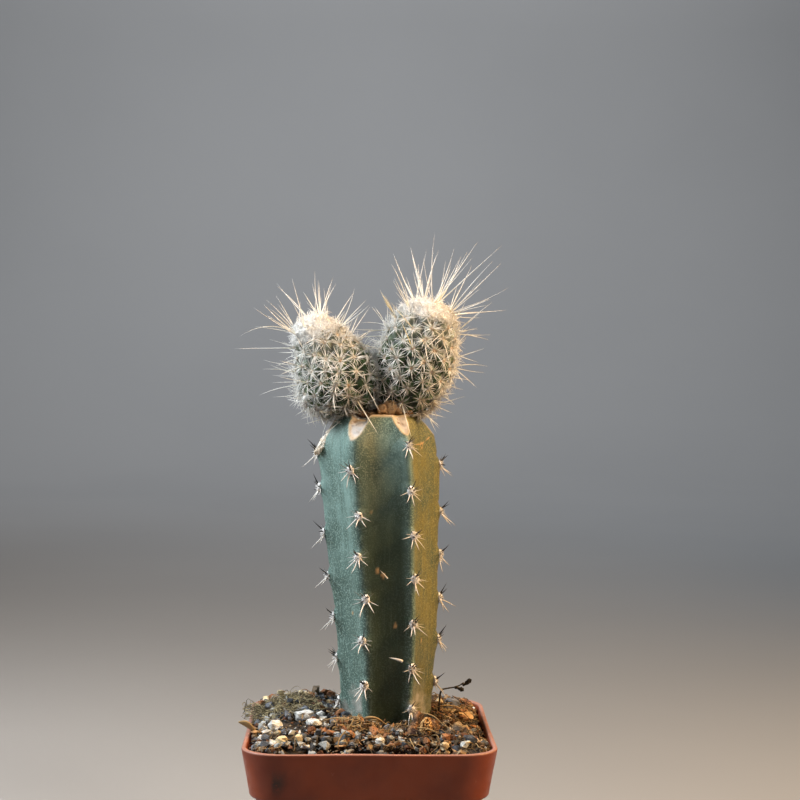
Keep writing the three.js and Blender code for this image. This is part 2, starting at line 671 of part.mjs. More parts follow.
// A head, cut to its seat on the column and to the plane where it meets the other head.
function makeHead(shape) {
  const head = { ...shape, skin: skinTable(shape) };
  const random = numbersFrom(head.seed);
  const flesh = headFlesh(head);
  const spines = [];
  addLongSpines(head, flesh, spines, random);
  addRadialSpines(head, flesh, spines, random);
  let whole = spinySkin(flesh, spines);
  const seat = columnBody(GAP, [...COLUMN.rings.filter((height) => height > COLUMN.seatFoot), HEAD_BASE]);
  whole = cutByPlane(whole, point(-head.side, 0, 0), point(HEAD_PARTING + (head.side * GAP) / 2, 0, 0));
  return largestBody(whole.subtract(seat).subtract(makeCallus(GAP)));
}

function makeCallus(grow) {
  const random = numbersFrom(5);
  const lumps = CALLUS.map(([x, y, height, radius, half], i) =>
    lump(point(x, y, height), point(radius + grow, radius + grow, half + grow), i === 0 ? 20 : 10, random));
  return cutByPlane(join(lumps), point(0, 0, -1), point(0, 0, HEAD_BASE - grow));
}

// The bed and what lies on it
function soilHeight(x, y) {
  const [fromLeft, fromMiddle] = [x - SOIL.leftCentre[0], y - SOIL.leftCentre[1]];
  const toWall = Math.max(0, POT.rimHalf - POT.wall - Math.max(Math.abs(x), Math.abs(y)));
  const heap = Math.exp(-(fromLeft ** 2) / (2 * SOIL.leftSpread[0] ** 2)
    - (fromMiddle ** 2) / (2 * SOIL.leftSpread[1] ** 2));
  const ripple = Math.sin(0.61 * x + 0.4 * y) * Math.cos(0.53 * y - 0.22 * x);
  return SOIL.edge + SOIL.rise * (1 - Math.exp(-toWall / SOIL.slopeLength)) + SOIL.leftRise * heap
    + SOIL.unevenness * ripple;
}

const insideHalf = (height) => straightAt(POT_INSIDE, height) - GAP;

// The heights at which the bed follows the pot's inside, up to a little below its surface.
const BED_SIDES = [POT.floor - POT.height + GAP, -POT.shoulderDepth - POT.wall / 2 - GAP, -POT.collarDepth + GAP];
const BED_SHOULDER = -7;

function bedBody() {
  const ring = (half, height) => squareRing(half, height, 3, 3);
  const sides = [...BED_SIDES, BED_SHOULDER].map((depth) => ring(insideHalf(depth), depth));
  const surface = SOIL.surfaceRings.map((share) => ring(share * insideHalf(SOIL.edge), soilHeight));
  return loft([...sides, ...surface]);
}

// Everything that may stand in the bed: the inside of the pot, carried up past the rim.
function roomInPot() {
  return loft([...BED_SIDES, 0, COLUMN.socketTop].map((height) =>
    squareRing(insideHalf(Math.min(height, 0)), height, 3, 3)));
}

function loosePiece(piece, grow) {
  const [x, y] = piece.at;
  const radii = point(...piece.radii);
  const centre = point(x, y, soilHeight(x, y) + SOIL.looseSeat * radii.z);
  const rotation = new THREE.Euler(0, radians(piece.tilt), radians(piece.turn), "ZYX");
  const random = numbersFrom(Math.round(100 + x * 7 + y * 13));
  return lump(centre, radii.addScalar(grow / LUMP.leastReach), 16, random, rotation);
}

function mossMound(grow) {
  const [x, y] = MOSS.centre;
  const radii = point(...MOSS.radii).addScalar(grow / LUMP.leastReach);
  return hullOf(scatter(point(x, y, soilHeight(x, y)), radii, MOSS.corners, numbersFrom(7)));
}

function makeMoss() {
  const random = numbersFrom(8);
  const mound = mossMound(0);
  const taken = new Set();
  const strands = [];
  for (let i = 0; i < MOSS.strands; i++) {
    const reach = 0.95 * Math.sqrt((i + 0.5) / MOSS.strands);
    const side = outward(i * GOLDEN_ANGLE).multiplyScalar(reach);
    const face = faceTowards(mound, side.addScaledVector(UP, Math.sqrt(1 - reach * reach)), taken);
    const climb = THREE.MathUtils.lerp(...MOSS.strandClimb, random());
    const direction = outward(i * GOLDEN_ANGLE + spread(random, 2)).addScaledVector(UP, climb);
    const length = THREE.MathUtils.lerp(...MOSS.strandLength, random());
    const strand = { face, root: faceMiddle(mound, face), direction: direction.normalize(), length };
    const apart = strands.every((other) => spineDistance(strand, other) > MOSS.strandThickness);
    const lifted = [0, 0.5, 1].every((share) => {
      const { x, y, z } = strand.root.clone().addScaledVector(direction, share * length);
      return z > soilHeight(x, y) + MOSS.strandLift;
    });
    if (apart && lifted && faceNormal(mound, face).dot(direction) > 0.3) {
      strands.push({ ...strand, thickness: MOSS.strandThickness });
    }
  }
  return spinySkin(mound, strands);
}

function makeSprig(grow) {
  const random = numbersFrom(9);
  const twig = stem(SPRIG.stem, SPRIG.thickness + 2 * grow, 5, 11);
  const buds = SPRIG.buds.map(([x, y, height, radius]) =>
    lump(point(x, y, height), point(radius * 1.3 + grow, radius * 0.8 + grow, radius * 0.6 + grow), 10, random));
  return join([twig, ...buds]);
}

// Small stones over the whole bed, clear of the column and of the larger loose pieces.
function bedGrit() {
  const random = numbersFrom(21);
  const taken = LOOSE_PIECES.map((piece) => ({ x: piece.at[0], y: piece.at[1], radius: piece.radii[0] }));
  taken.push({ x: MOSS.centre[0], y: MOSS.centre[1], radius: MOSS.radii[0] + 2 });
  taken.push({ x: SPRIG.stem[0][0], y: SPRIG.stem[0][1], radius: 1.2 });
  const stones = [];
  const half = insideHalf(0);
  for (let tries = 0; tries < 4000 && stones.length < SOIL.grit; tries++) {
    const radius = THREE.MathUtils.lerp(...SOIL.gritRadius, random() ** 1.6);
    const reach = half - radius;
    const [x, y] = [reach * (2 * random() - 1), reach * (2 * random() - 1)];
    const rotation = new THREE.Euler(0.5 * random(), 0.5 * random(), FULL_TURN * random());
    const radii = point(radius, radius * (0.65 + 0.3 * random()), radius * (0.6 + 0.3 * random()));
    const crowded = taken.some((other) => Math.hypot(x - other.x, y - other.y)
      < SOIL.gritCrowding * (other.radius + radius));
    if (crowded || nearColumn(point(x, y, 2), 0.8 * radius)) continue;
    taken.push({ x, y, radius });
    const centre = point(x, y, soilHeight(x, y) + SOIL.gritSeat * radii.z);
    stones.push(lump(centre, radii, 7, random, rotation));
  }
  return stones;
}

function makeBed() {
  const grown = LOOSE_PIECES.map((piece) => loosePiece(piece, GAP));
  const socketHeights = COLUMN.rings.filter((height) => height <= COLUMN.socketTop);
  const socket = columnBody(GAP + SOIL.socketEase, [socketHeights[0] - GAP, ...socketHeights.slice(1)]);
  const filled = join([bedBody(), ...bedGrit()]).intersect(roomInPot());
  return largestBody(filled.subtract(join([socket, spinySkin(mossMound(GAP), []), makeSprig(GAP), ...grown])));
}

// The assembly, built above the plane of the rim and stood on the pot's base.
const plant = new THREE.Group();
plant.position.z = POT.height;

function place(name, solid, material) {
  const { numProp, numVert, vertProperties, triVerts } = solid.getMesh();
  const positions = new Float32Array(numVert * 3);
  for (let i = 0; i < numVert; i++) {
    positions.set(vertProperties.subarray(i * numProp, i * numProp + 3), i * 3);
  }
  const geometry = new THREE.BufferGeometry();
  geometry.setAttribute("position", new THREE.BufferAttribute(positions, 3));
  geometry.setIndex(new THREE.BufferAttribute(triVerts, 1));
  const mesh = new THREE.Mesh(geometry, material);
  mesh.name = name;
  plant.add(mesh);
}

place("pot", makePot(), FINISHES.terracotta);
place("soil_bed", makeBed(), FINISHES.grit);
place("column", makeColumn(), FINISHES.columnSkin);
place("graft_callus", makeCallus(0), FINISHES.cork);
place("head_left", makeHead(LEFT_HEAD), FINISHES.headWool);
place("head_right", makeHead(RIGHT_HEAD), FINISHES.headWool);
place("moss_clump", makeMoss(), FINISHES.moss);
place("dry_sprig", makeSprig(0), FINISHES.dryStem);
for (const piece of LOOSE_PIECES) {
  const material = new THREE.MeshStandardMaterial({ color: piece.colour, roughness: 0.9 });
  place(piece.name, loosePiece(piece, 0), material);
}

const part = new THREE.Group();
part.add(plant);
export default part;
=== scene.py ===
"""Looks of a grafted cactus in a square pot: two white-spined heads on a ribbed column in gritty soil.

Every length below is in millimetres and every height is above the plane of the pot's rim, as in the
part's own source. make_piece() turns each skin into a mesh in metres that stands on the pot's base.
"""

import logging
import math
from dataclasses import dataclass, field, fields
from enum import Enum
from functools import cache

import bmesh
import bpy
import numpy as np
from mathutils import Matrix, Vector, noise


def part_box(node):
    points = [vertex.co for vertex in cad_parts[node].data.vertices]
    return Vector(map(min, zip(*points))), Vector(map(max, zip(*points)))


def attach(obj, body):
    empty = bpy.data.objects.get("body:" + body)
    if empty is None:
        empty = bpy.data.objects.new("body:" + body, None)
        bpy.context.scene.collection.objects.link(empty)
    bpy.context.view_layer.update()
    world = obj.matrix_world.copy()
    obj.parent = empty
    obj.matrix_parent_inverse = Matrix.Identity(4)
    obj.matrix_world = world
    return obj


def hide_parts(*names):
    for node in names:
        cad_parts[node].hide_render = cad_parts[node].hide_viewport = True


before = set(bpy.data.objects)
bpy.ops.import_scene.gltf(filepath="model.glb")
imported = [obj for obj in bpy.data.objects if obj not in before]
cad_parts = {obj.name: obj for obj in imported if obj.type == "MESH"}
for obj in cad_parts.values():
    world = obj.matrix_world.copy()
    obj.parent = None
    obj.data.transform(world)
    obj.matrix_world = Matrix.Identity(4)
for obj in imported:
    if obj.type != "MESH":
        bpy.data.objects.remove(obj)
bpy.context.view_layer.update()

LOG = logging.getLogger("grafted_cactus")
Array = np.ndarray
Draws = np.random.Generator
Material = bpy.types.Material
Rows = tuple[tuple[float, ...], ...]
Point = tuple[float, float, float]
Colour = Point

MM = 0.001
POT_HEIGHT = 62.0
FULL_TURN = 2 * math.pi
GOLDEN_ANGLE = math.pi * (3 - math.sqrt(5))
ALONG_X, ALONG_Y, UP = LEVEL_AXES = np.eye(3)
# shares of a strand's length at which it is tested
HALVES = np.array([0.0, 0.5, 1.0])


# Numbers and curves

def smooth_at(table: Rows, x: Array | float) -> Array:
    """Reads a smooth curve through the rows of a table.

    Args:
        table: rows of [x, value] in rising order of x.
        x: where the curve is read.

    Returns:
        The values at x, level beyond both ends.
    """
    rows = np.asarray(table, float)
    knots, values = rows[:, 0], rows[:, 1]
    last = len(rows) - 1
    before = np.maximum(np.arange(last + 1) - 1, 0)
    after = np.minimum(np.arange(last + 1) + 1, last)
    slopes = (values[after] - values[before]) / (knots[after] - knots[before])
    at = np.clip(x, knots[0], knots[-1])
    row = np.clip(np.searchsorted(knots, at, side="right") - 1, 0, last - 1)
    width = knots[row + 1] - knots[row]
    t = (at - knots[row]) / width
    rising = t * (1 - t) ** 2 * width * slopes[row]
    falling = t**2 * (1 - t) * width * slopes[row + 1]
    return ((1 + 2 * t) * (1 - t) ** 2 * values[row] + rising
            + t**2 * (3 - 2 * t) * values[row + 1] - falling)


def smooth_line(knots: Array, rows: Array, x: Array) -> Array:
    """Points at x on a smooth curve through rows of coordinates, one for each knot."""
    return np.stack([smooth_at(np.column_stack([knots, column]), x) for column in rows.T], axis=-1)


def run_between(start: Point, end: Point, share: Array) -> Array:
    """Points at shares of the straight way between two ends."""
    return np.array(start) + (np.array(end) - np.array(start)) * share[:, None]


def fade(x: Array, low: float, high: float) -> Array:
    """Rises smoothly from 0 at low to 1 at high; low may be the larger of the two."""
    t = np.clip((x - low) / (high - low), 0, 1)
    return t * t * (3 - 2 * t)


def unit(vectors: Array) -> Array:
    """Scales vectors to length 1."""
    return vectors / np.maximum(np.linalg.norm(vectors, axis=-1, keepdims=True), 1e-9)


def turns(count: int) -> Array:
    """Angles evenly spaced round a full turn."""
    return np.arange(count) / count * FULL_TURN


def turned(angle: Array, first: Array, second: Array) -> Array:
    """Directions at angles from a first one towards a second, square to it."""
    return np.cos(angle)[..., None] * first + np.sin(angle)[..., None] * second


def level_ways(angle: Array) -> Array:
    """Level directions [x, y] at angles from +X."""
    return np.column_stack([np.cos(angle), np.sin(angle)])


def outward(angle: Array | float) -> Array:
    """The level direction at an angle round the column, counted from the front towards +X."""
    return np.stack([np.sin(angle), -np.cos(angle), np.zeros_like(np.asarray(angle, float))], axis=-1)


def across(directions: Array) -> tuple[Array, Array]:
    """Finds two directions square to each given one, so that the three form a right-handed frame.

    Args:
        directions: the given ones, of length 1.

    Returns:
        The first and the second of each frame.
    """
    first = unit(np.cross(np.where(np.abs(directions[..., 2:3]) > 0.9, ALONG_X, UP), directions))
    return first, np.cross(directions, first)


def rough(points: Array, size: float, octaves: int = 3) -> Array:
    """Fractal noise from about -1 to 1 at points, with lumps of a size and some finer layers."""
    return np.array([noise.fractal(Vector(p), 0.9, 2.0, octaves) for p in points / size])


# Skins: meshes before they become objects

@dataclass
class Skin:
    """Points in millimetres, the faces between them and named values on the points."""

    points: Array
    faces: list[Array]
    values: dict[str, Array] = field(default_factory=dict)

    def with_values(self, **values: Array | float) -> "Skin":
        """The same skin with more named values on its points."""
        spread = {name: np.broadcast_to(value, len(self.points)) for name, value in values.items()}
        return Skin(self.points, self.faces, {**self.values, **spread})

    def roughened(self, height: float, size: float, octaves: int = 3) -> "Skin":
        """Moves the points in and out from the skin's middle by fractal noise.

        Args:
            height: how far.
            size: width of the largest lumps.
            octaves: how many finer layers they have.

        Returns:
            The rough skin.
        """
        away = unit(self.points - self.points.mean(axis=0))
        moved = away * (height * rough(self.points, size, octaves))[:, None]
        return Skin(self.points + moved, self.faces, self.values)


def joined(skins: list[Skin]) -> Skin:
    """Puts skins together as one skin of separate bodies.

    Args:
        skins: skins that all have the same named values.

    Returns:
        One skin that holds them all.
    """
    starts = np.cumsum([0] + [len(skin.points) for skin in skins[:-1]])
    faces = [group + start for skin, start in zip(skins, starts) for group in skin.faces]
    values = {name: np.concatenate([skin.values[name] for skin in skins]) for name in skins[0].values}
    return Skin(np.concatenate([skin.points for skin in skins]), faces, values)


def bands(index: Array) -> Array:
    """The four-sided faces between rings of point numbers."""
    low, high = index[:-1], index[1:]
    return np.stack([low, np.roll(low, -1, 1), np.roll(high, -1, 1), high], axis=-1).reshape(-1, 4)


def loft(rings: Array) -> Skin:
    """Closes a skin over rings of points.

    Args:
        rings: an array of levels by sides by 3, each level counter-clockwise from above.

    Returns:
        A closed skin, with a fan of triangles over its first and last ring.
    """
    levels, sides = rings.shape[:2]
    index = np.arange(levels * sides).reshape(levels, sides)
    foot, head = levels * sides, levels * sides + 1
    first, last = index[0], index[-1]
    fans = [np.stack([np.full(sides, foot), np.roll(first, -1), first], axis=-1),
            np.stack([np.full(sides, head), last, np.roll(last, -1)], axis=-1)]
    middles = rings[[0, -1]].mean(axis=1)
    return Skin(np.concatenate([rings.reshape(-1, 3), middles]), [bands(index), *fans])


def ball(centre: Array | Point, radii: Array | Point, sides: int, levels: int,
         axes: Array = LEVEL_AXES) -> Skin:
    """Makes an ellipsoid.

    Args:
        centre: its middle.
        radii: its three half widths.
        sides: points round its last axis.
        levels: rings of points between its poles.
        axes: three rows, the directions of its half widths.

    Returns:
        A closed skin.
    """
    polar = (np.arange(levels) + 0.5) / levels * math.pi
    turn = turns(sides)
    flat = np.sin(polar)[:, None]
    rings = np.stack([flat * np.cos(turn), flat * np.sin(turn),
                      np.broadcast_to(-np.cos(polar)[:, None], (levels, sides))], axis=-1)
    return loft((rings * radii) @ axes + centre)


def tube(line: Array, widths: Array, sides: int = 8) -> Skin:
    """A round rod along a line, with its half width at each point."""
    side, over = across(unit(np.gradient(line, axis=0)))
    return loft(line[:, None] + turned(turns(sides), side[:, None], over[:, None]) * widths[:, None, None])


@dataclass
class Strands:
    """Tapering strands, one row of each array for each: hairs, spines, roots and straws.

    A strand bows by its arch in the middle, and by its sway one way and then the other.
    """

    roots: Array
    tips: Array
    arches: Array
    thickness: Array
    tone: Array
    sways: Array | None = None

    def __post_init__(self) -> None:
        """Leaves strands without a sway where none is given."""
        if self.sways is None:
            self.sways = np.zeros_like(self.roots)

    @staticmethod
    def of(parts: list["Strands"]) -> "Strands":
        """Puts several sets of strands together."""
        return Strands(*(np.concatenate([getattr(part, item.name) for part in parts])
                         for item in fields(Strands)))

    @staticmethod
    def placed(rows: Rows, first_tone: float, last_tone: float) -> "Strands":
        """Strands from rows of root, tip, arch and thickness, with tones that change evenly."""
        roots, tips, arches, thickness = np.split(np.array(rows, float), [3, 6, 9], axis=1)
        return Strands(roots, tips, arches, thickness[:, 0], np.linspace(first_tone, last_tone, len(rows)))

    def middle_lines(self, shares: Array) -> Array:
        """Finds points along every strand.

        Args:
            shares: shares of each strand's length.

        Returns:
            An array of strands by shares by 3.
        """
        t = shares[None, :, None]
        straight = self.roots[:, None] + (self.tips - self.roots)[:, None] * t
        bowed = self.arches[:, None] * (4 * t * (1 - t))
        return straight + bowed + self.sways[:, None] * np.sin(FULL_TURN * t)

    def kept(self, wanted: Array) -> "Strands":
        """The strands for which wanted is true."""
        return Strands(*(getattr(self, item.name)[wanted] for item in fields(Strands)))

    def skin(self, sides: int, steps: int, taper: float = 1.5) -> Skin:
        """Makes the strands' skins.

        Args:
            sides: corners of each strand's section.
            steps: rings of points along each strand, before its tip.
            taper: how late a strand thins: 1 thins evenly, more keeps it thick for longer.

        Returns:
            Closed skins with the values "along" and "tone" on their points.
        """
        count, own = len(self.roots), steps * sides + 1
        shares = np.append(np.arange(steps) / steps, 1.0)
        lines = self.middle_lines(shares)
        side, over = across(unit(np.gradient(lines, axis=1))[:, :steps])
        radii = self.thickness[:, None] / 2 * (1 - shares[:steps] ** taper)
        ring = turned(turns(sides), side[:, :, None], over[:, :, None])
        tubes = lines[:, :steps, None] + ring * radii[:, :, None, None]
        points = np.concatenate([tubes.reshape(count, own - 1, 3), lines[:, steps:]], axis=1)
        index = np.arange(own - 1).reshape(steps, sides)
        tip = np.stack([index[-1], np.roll(index[-1], -1), np.full(sides, own - 1)], axis=-1)
        starts = (np.arange(count) * own)[:, None, None]
        faces = [(group[None] + starts).reshape(-1, group.shape[1])
                 for group in (bands(index), tip, index[0][::-1][None])]
        along = np.append(np.repeat(shares[:steps], sides), 1.0)
        return Skin(points.reshape(-1, 3), faces,
                    {"along": np.tile(along, count), "tone": np.repeat(self.tone, own)})


# Shared shader effects

FLOAT, COLOUR, VECTOR = "NodeSocketFloat", "NodeSocketColor", "NodeSocketVector"
Socket = bpy.types.NodeSocket
Tree = bpy.types.NodeTree
Value = float | Socket


class Nodes:
    """A node tree whose nodes are added with their sockets set or linked at once."""

    def __init__(self, tree: Tree) -> None:
        """Wraps a node tree."""
        self.tree = tree

    def put(self, socket: Socket, value: object) -> None:
        """Links or sets a socket.

        Args:
            socket: the socket.
            value: another socket to link it to, or a number, vector or colour.
        """
        if isinstance(value, Socket):
            self.tree.links.new(value, socket)
        elif socket.type == "RGBA":
            socket.default_value = (*value, 1.0)
        else:
            socket.default_value = value

    def add(self, kind: str, sockets: dict | None = None, **settings: object) -> bpy.types.Node:
        """Adds a node.

        Args:
            kind: the node's type name.
            sockets: input names or numbers, with a value or a socket for each.
            settings: the node's own properties.

        Returns:
            The new node.
        """
        node = self.tree.nodes.new(kind)
        for name, setting in settings.items():
            setattr(node, name, setting)
        for key, value in (sockets or {}).items():
            self.put(node.inputs[key], value)
        return node

    def mix(self, mask: Value, low: Colour | Socket, high: Colour | Socket) -> Socket:
        """A colour that goes from low, where the mask is 0, to high, where it is 1."""
        return self.add("ShaderNodeMix", {0: mask, 6: low, 7: high}, data_type="RGBA").outputs[2]

    def coat(self, under: Colour | Socket, over: Colour | Socket, mask: Value, amount: Value) -> Socket:
        """A colour with another over it, by an amount of a mask."""
        return self.mix(self.math("MULTIPLY", mask, amount), under, over)

    def math(self, kind: str, first: Value, second: Value) -> Socket:
        """The result of a sum, product or other operation on two values."""
        return self.add("ShaderNodeMath", {0: first, 1: second}, operation=kind).outputs[0]

    def spread(self, value: Value, low: Value, high: Value, to: tuple[float, float] = (0, 1)) -> Socket:
        """Maps a value smoothly from the range low to high to another range."""
        sockets = {"Value": value, "From Min": low, "From Max": high, "To Min": to[0], "To Max": to[1]}
        return self.add("ShaderNodeMapRange", sockets, interpolation_type="SMOOTHSTEP").outputs[0]

    def clouds(self, vector: Socket, scale: Value, detail: Value) -> Socket:
        """Soft noise from 0 to 1."""
        sockets = {"Vector": vector, "Scale": scale, "Detail": detail}
        return self.add("ShaderNodeTexNoise", sockets).outputs[0]

    def effect(self, tree: Tree, sockets: dict) -> bpy.types.NodeOutputs:
        """Places a shared effect and returns its outputs."""
        return self.add("ShaderNodeGroup", sockets, node_tree=tree).outputs


def new_effect(name: str, inputs: dict[str, str], outputs: dict[str, str]) -> tuple:
    """Starts a shared shader effect.

    Args:
        name: what the effect is called.
        inputs: its input names, with the type of each.
        outputs: its output names, with the type of each.

    Returns:
        Its nodes, the sockets of what it is given and the sockets of what it results in.
    """
    tree = bpy.data.node_groups.new(name, "ShaderNodeTree")
    for way, sockets in (("INPUT", inputs), ("OUTPUT", outputs)):
        for label, kind in sockets.items():
            tree.interface.new_socket(label, in_out=way, socket_type=kind)
    nodes = Nodes(tree)
    return nodes, nodes.add("NodeGroupInput").outputs, nodes.add("NodeGroupOutput").inputs


@cache
def blotches() -> Tree:
    """Soft blotches: a mask that rises from 0 to 1 as noise passes from Low to High.

    Returns:
        The effect's node tree.
    """
    nodes, given, result = new_effect(
        "Blotches", {"Vector": VECTOR, "Scale": FLOAT, "Detail": FLOAT, "Low": FLOAT, "High": FLOAT},
        {"Mask": FLOAT})
    clouds = nodes.clouds(given["Vector"], given["Scale"], given["Detail"])
    nodes.put(result["Mask"], nodes.spread(clouds, given["Low"], given["High"]))
    return nodes.tree


@cache
def surface_grain() -> Tree:
    """Relief of fine grain on coarser lumps, with the share that the lumps take.

    Returns:
        The effect's node tree.
    """
    nodes, given, result = new_effect(
        "Surface Grain", {"Vector": VECTOR, "Fine": FLOAT, "Coarse": FLOAT, "Share": FLOAT},
        {"Height": FLOAT})
    fine, coarse = (nodes.clouds(given["Vector"], given[name], detail)
                    for name, detail in (("Fine", 2.0), ("Coarse", 5.0)))
    mixed = nodes.add("ShaderNodeMix", {0: given["Share"], 2: fine, 3: coarse})
    nodes.put(result["Height"], mixed.outputs[0])
    return nodes.tree


@cache
def stretched() -> Tree:
    """Coordinates squeezed along the height, so that noise read with them runs in upright streaks.

    Returns:
        The effect's node tree.
    """
    nodes, given, result = new_effect("Upright Streaks", {"Vector": VECTOR, "Squeeze": FLOAT},
                                      {"Vector": VECTOR})
    parts = nodes.add("ShaderNodeSeparateXYZ", {0: given["Vector"]}).outputs
    low = nodes.math("MULTIPLY", parts[2], given["Squeeze"])
    whole = nodes.add("ShaderNodeCombineXYZ", {0: parts[0], 1: parts[1], 2: low})
    nodes.put(result["Vector"], whole.outputs[0])
    return nodes.tree


@cache
def settled_dust() -> Tree:
    """Dust in patches on what faces upwards, as a colour over the surface's own.

    Returns:
        The effect's node tree.
    """
    nodes, given, result = new_effect(
        "Settled Dust", {"Vector": VECTOR, "Colour": COLOUR, "Dust": COLOUR, "Amount": FLOAT},
        {"Colour": COLOUR})
    normal = nodes.add("ShaderNodeNewGeometry").outputs["Normal"]
    upward = nodes.spread(nodes.add("ShaderNodeSeparateXYZ", {0: normal}).outputs[2], 0.1, 0.9)
    patchy = nodes.spread(nodes.clouds(given["Vector"], 420.0, 5.0), 0.35, 0.62)
    settled = nodes.math("MULTIPLY", upward, patchy)
    nodes.put(result["Colour"], nodes.coat(given["Colour"], given["Dust"], settled, given["Amount"]))
    return nodes.tree


@cache
def pores() -> Tree:
    """Small round pores: relief that sinks in each pore, and a mask of the pores.

    Returns:
        The effect's node tree.
    """
    nodes, given, result = new_effect("Pores", {"Vector": VECTOR, "Scale": FLOAT, "Width": FLOAT},
                                      {"Height": FLOAT, "Mask": FLOAT})
    cells = nodes.add("ShaderNodeTexVoronoi", {"Vector": given["Vector"], "Scale": given["Scale"]})
    rise = nodes.spread(cells.outputs[0], 0.05, given["Width"])
    nodes.put(result["Height"], rise)
    nodes.put(result["Mask"], nodes.math("SUBTRACT", 1.0, rise))
    return nodes.tree


class Surface(Nodes):
    """The nodes of one material, round its own surface shader."""

    def __init__(self, name: str) -> None:
        """Starts a material of that name.

        Args:
            name: what the material is called.
        """
        self.material = bpy.data.materials.new(name)
        self.material.use_nodes = True
        super().__init__(self.material.node_tree)
        self.shader = self.tree.nodes["Principled BSDF"].inputs
        self.place = self.add("ShaderNodeTexCoord").outputs["Object"]

    def value(self, name: str) -> Socket:
        """A named value that the mesh carries on its points."""
        node = self.add("ShaderNodeAttribute", attribute_name=name, attribute_type="GEOMETRY")
        return node.outputs["Fac"]

    def mask(self, scale: float, low: float, high: float, detail: float = 4.0,
             vector: Socket | None = None) -> Socket:
        """A mask of soft blotches, with about scale of them to a metre."""
        sockets = {"Vector": vector or self.place, "Scale": scale, "Detail": detail, "Low": low,
                   "High": high}
        return self.effect(blotches(), sockets)["Mask"]

    def streaks(self, squeeze: float) -> Socket:
        """Coordinates for noise that runs in upright streaks."""
        return self.effect(stretched(), {"Vector": self.place, "Squeeze": squeeze})["Vector"]

    def grain(self, fine: float, coarse: float, share: float) -> Socket:
        """Relief of fine grain on coarser lumps."""
        sockets = {"Vector": self.place, "Fine": fine, "Coarse": coarse, "Share": share}
        return self.effect(surface_grain(), sockets)["Height"]

    def dusted(self, colour: Socket, dust: Colour, amount: float) -> Socket:
        """The colour with dust on what faces upwards."""
        sockets = {"Vector": self.place, "Colour": colour, "Dust": dust, "Amount": amount}
        return self.effect(settled_dust(), sockets)["Colour"]

    def finish(self, colour: Socket, roughness: Value, height: Socket, depth: float) -> Material:
        """Feeds the surface shader.

        Args:
            colour: the surface's colour.
            roughness: its roughness.
            height: its relief, from 0 to 1.
            depth: how deep that relief is, in millimetres.

        Returns:
            The finished material.
        """
        bump = self.add("ShaderNodeBump", {"Height": height, "Distance": depth * MM, "Strength": 1.0})
        self.put(self.shader["Base Color"], colour)
        self.put(self.shader["Roughness"], roughness)
        self.put(self.shader["Normal"], bump.outputs[0])
        return self.material


# Finishes

@dataclass(frozen=True)
class PlasticFinish:
    """Moulded terracotta-coloured plastic, with a painted highlight that makes it paler and pinker along
    the lip, and a film of dust.
    """

    body: Colour = (0.252, 0.048, 0.014)
    deep: Colour = (0.160, 0.028, 0.010)
    # pale pink of the painted highlight along the lip, also used for scuffs
    lip: Colour = (0.50, 0.26, 0.21)
    dirt: Colour = (0.028, 0.018, 0.015)
    dust: Colour = (0.31, 0.19, 0.13)

    def material(self) -> Material:
        """Builds the material; it reads the values "lip" and "dirt".

        Returns:
            The finished material.
        """
        made = Surface("moulded_plastic")
        colour = made.mix(made.mask(55, 0.35, 0.68), self.body, self.deep)
        scuffs = made.mask(1500, 0.66, 0.76, 6.0, made.streaks(0.25))
        colour = made.coat(colour, self.lip, scuffs, 0.10)
        # painted highlight: the top of the lip is coated pale pink
        colour = made.coat(colour, self.lip, made.value("lip"), 0.75)
        colour = made.dusted(colour, self.dust, 0.3)
        colour = made.coat(colour, self.dirt, made.value("dirt"), made.mask(1400, 0.2, 0.5))
        roughness = made.spread(made.mask(240, 0.3, 0.7), 0, 1, (0.36, 0.52))
        made.put(made.shader["Specular IOR Level"], 0.35)
        return made.finish(colour, roughness, made.grain(5200, 320, 0.35), 0.05)


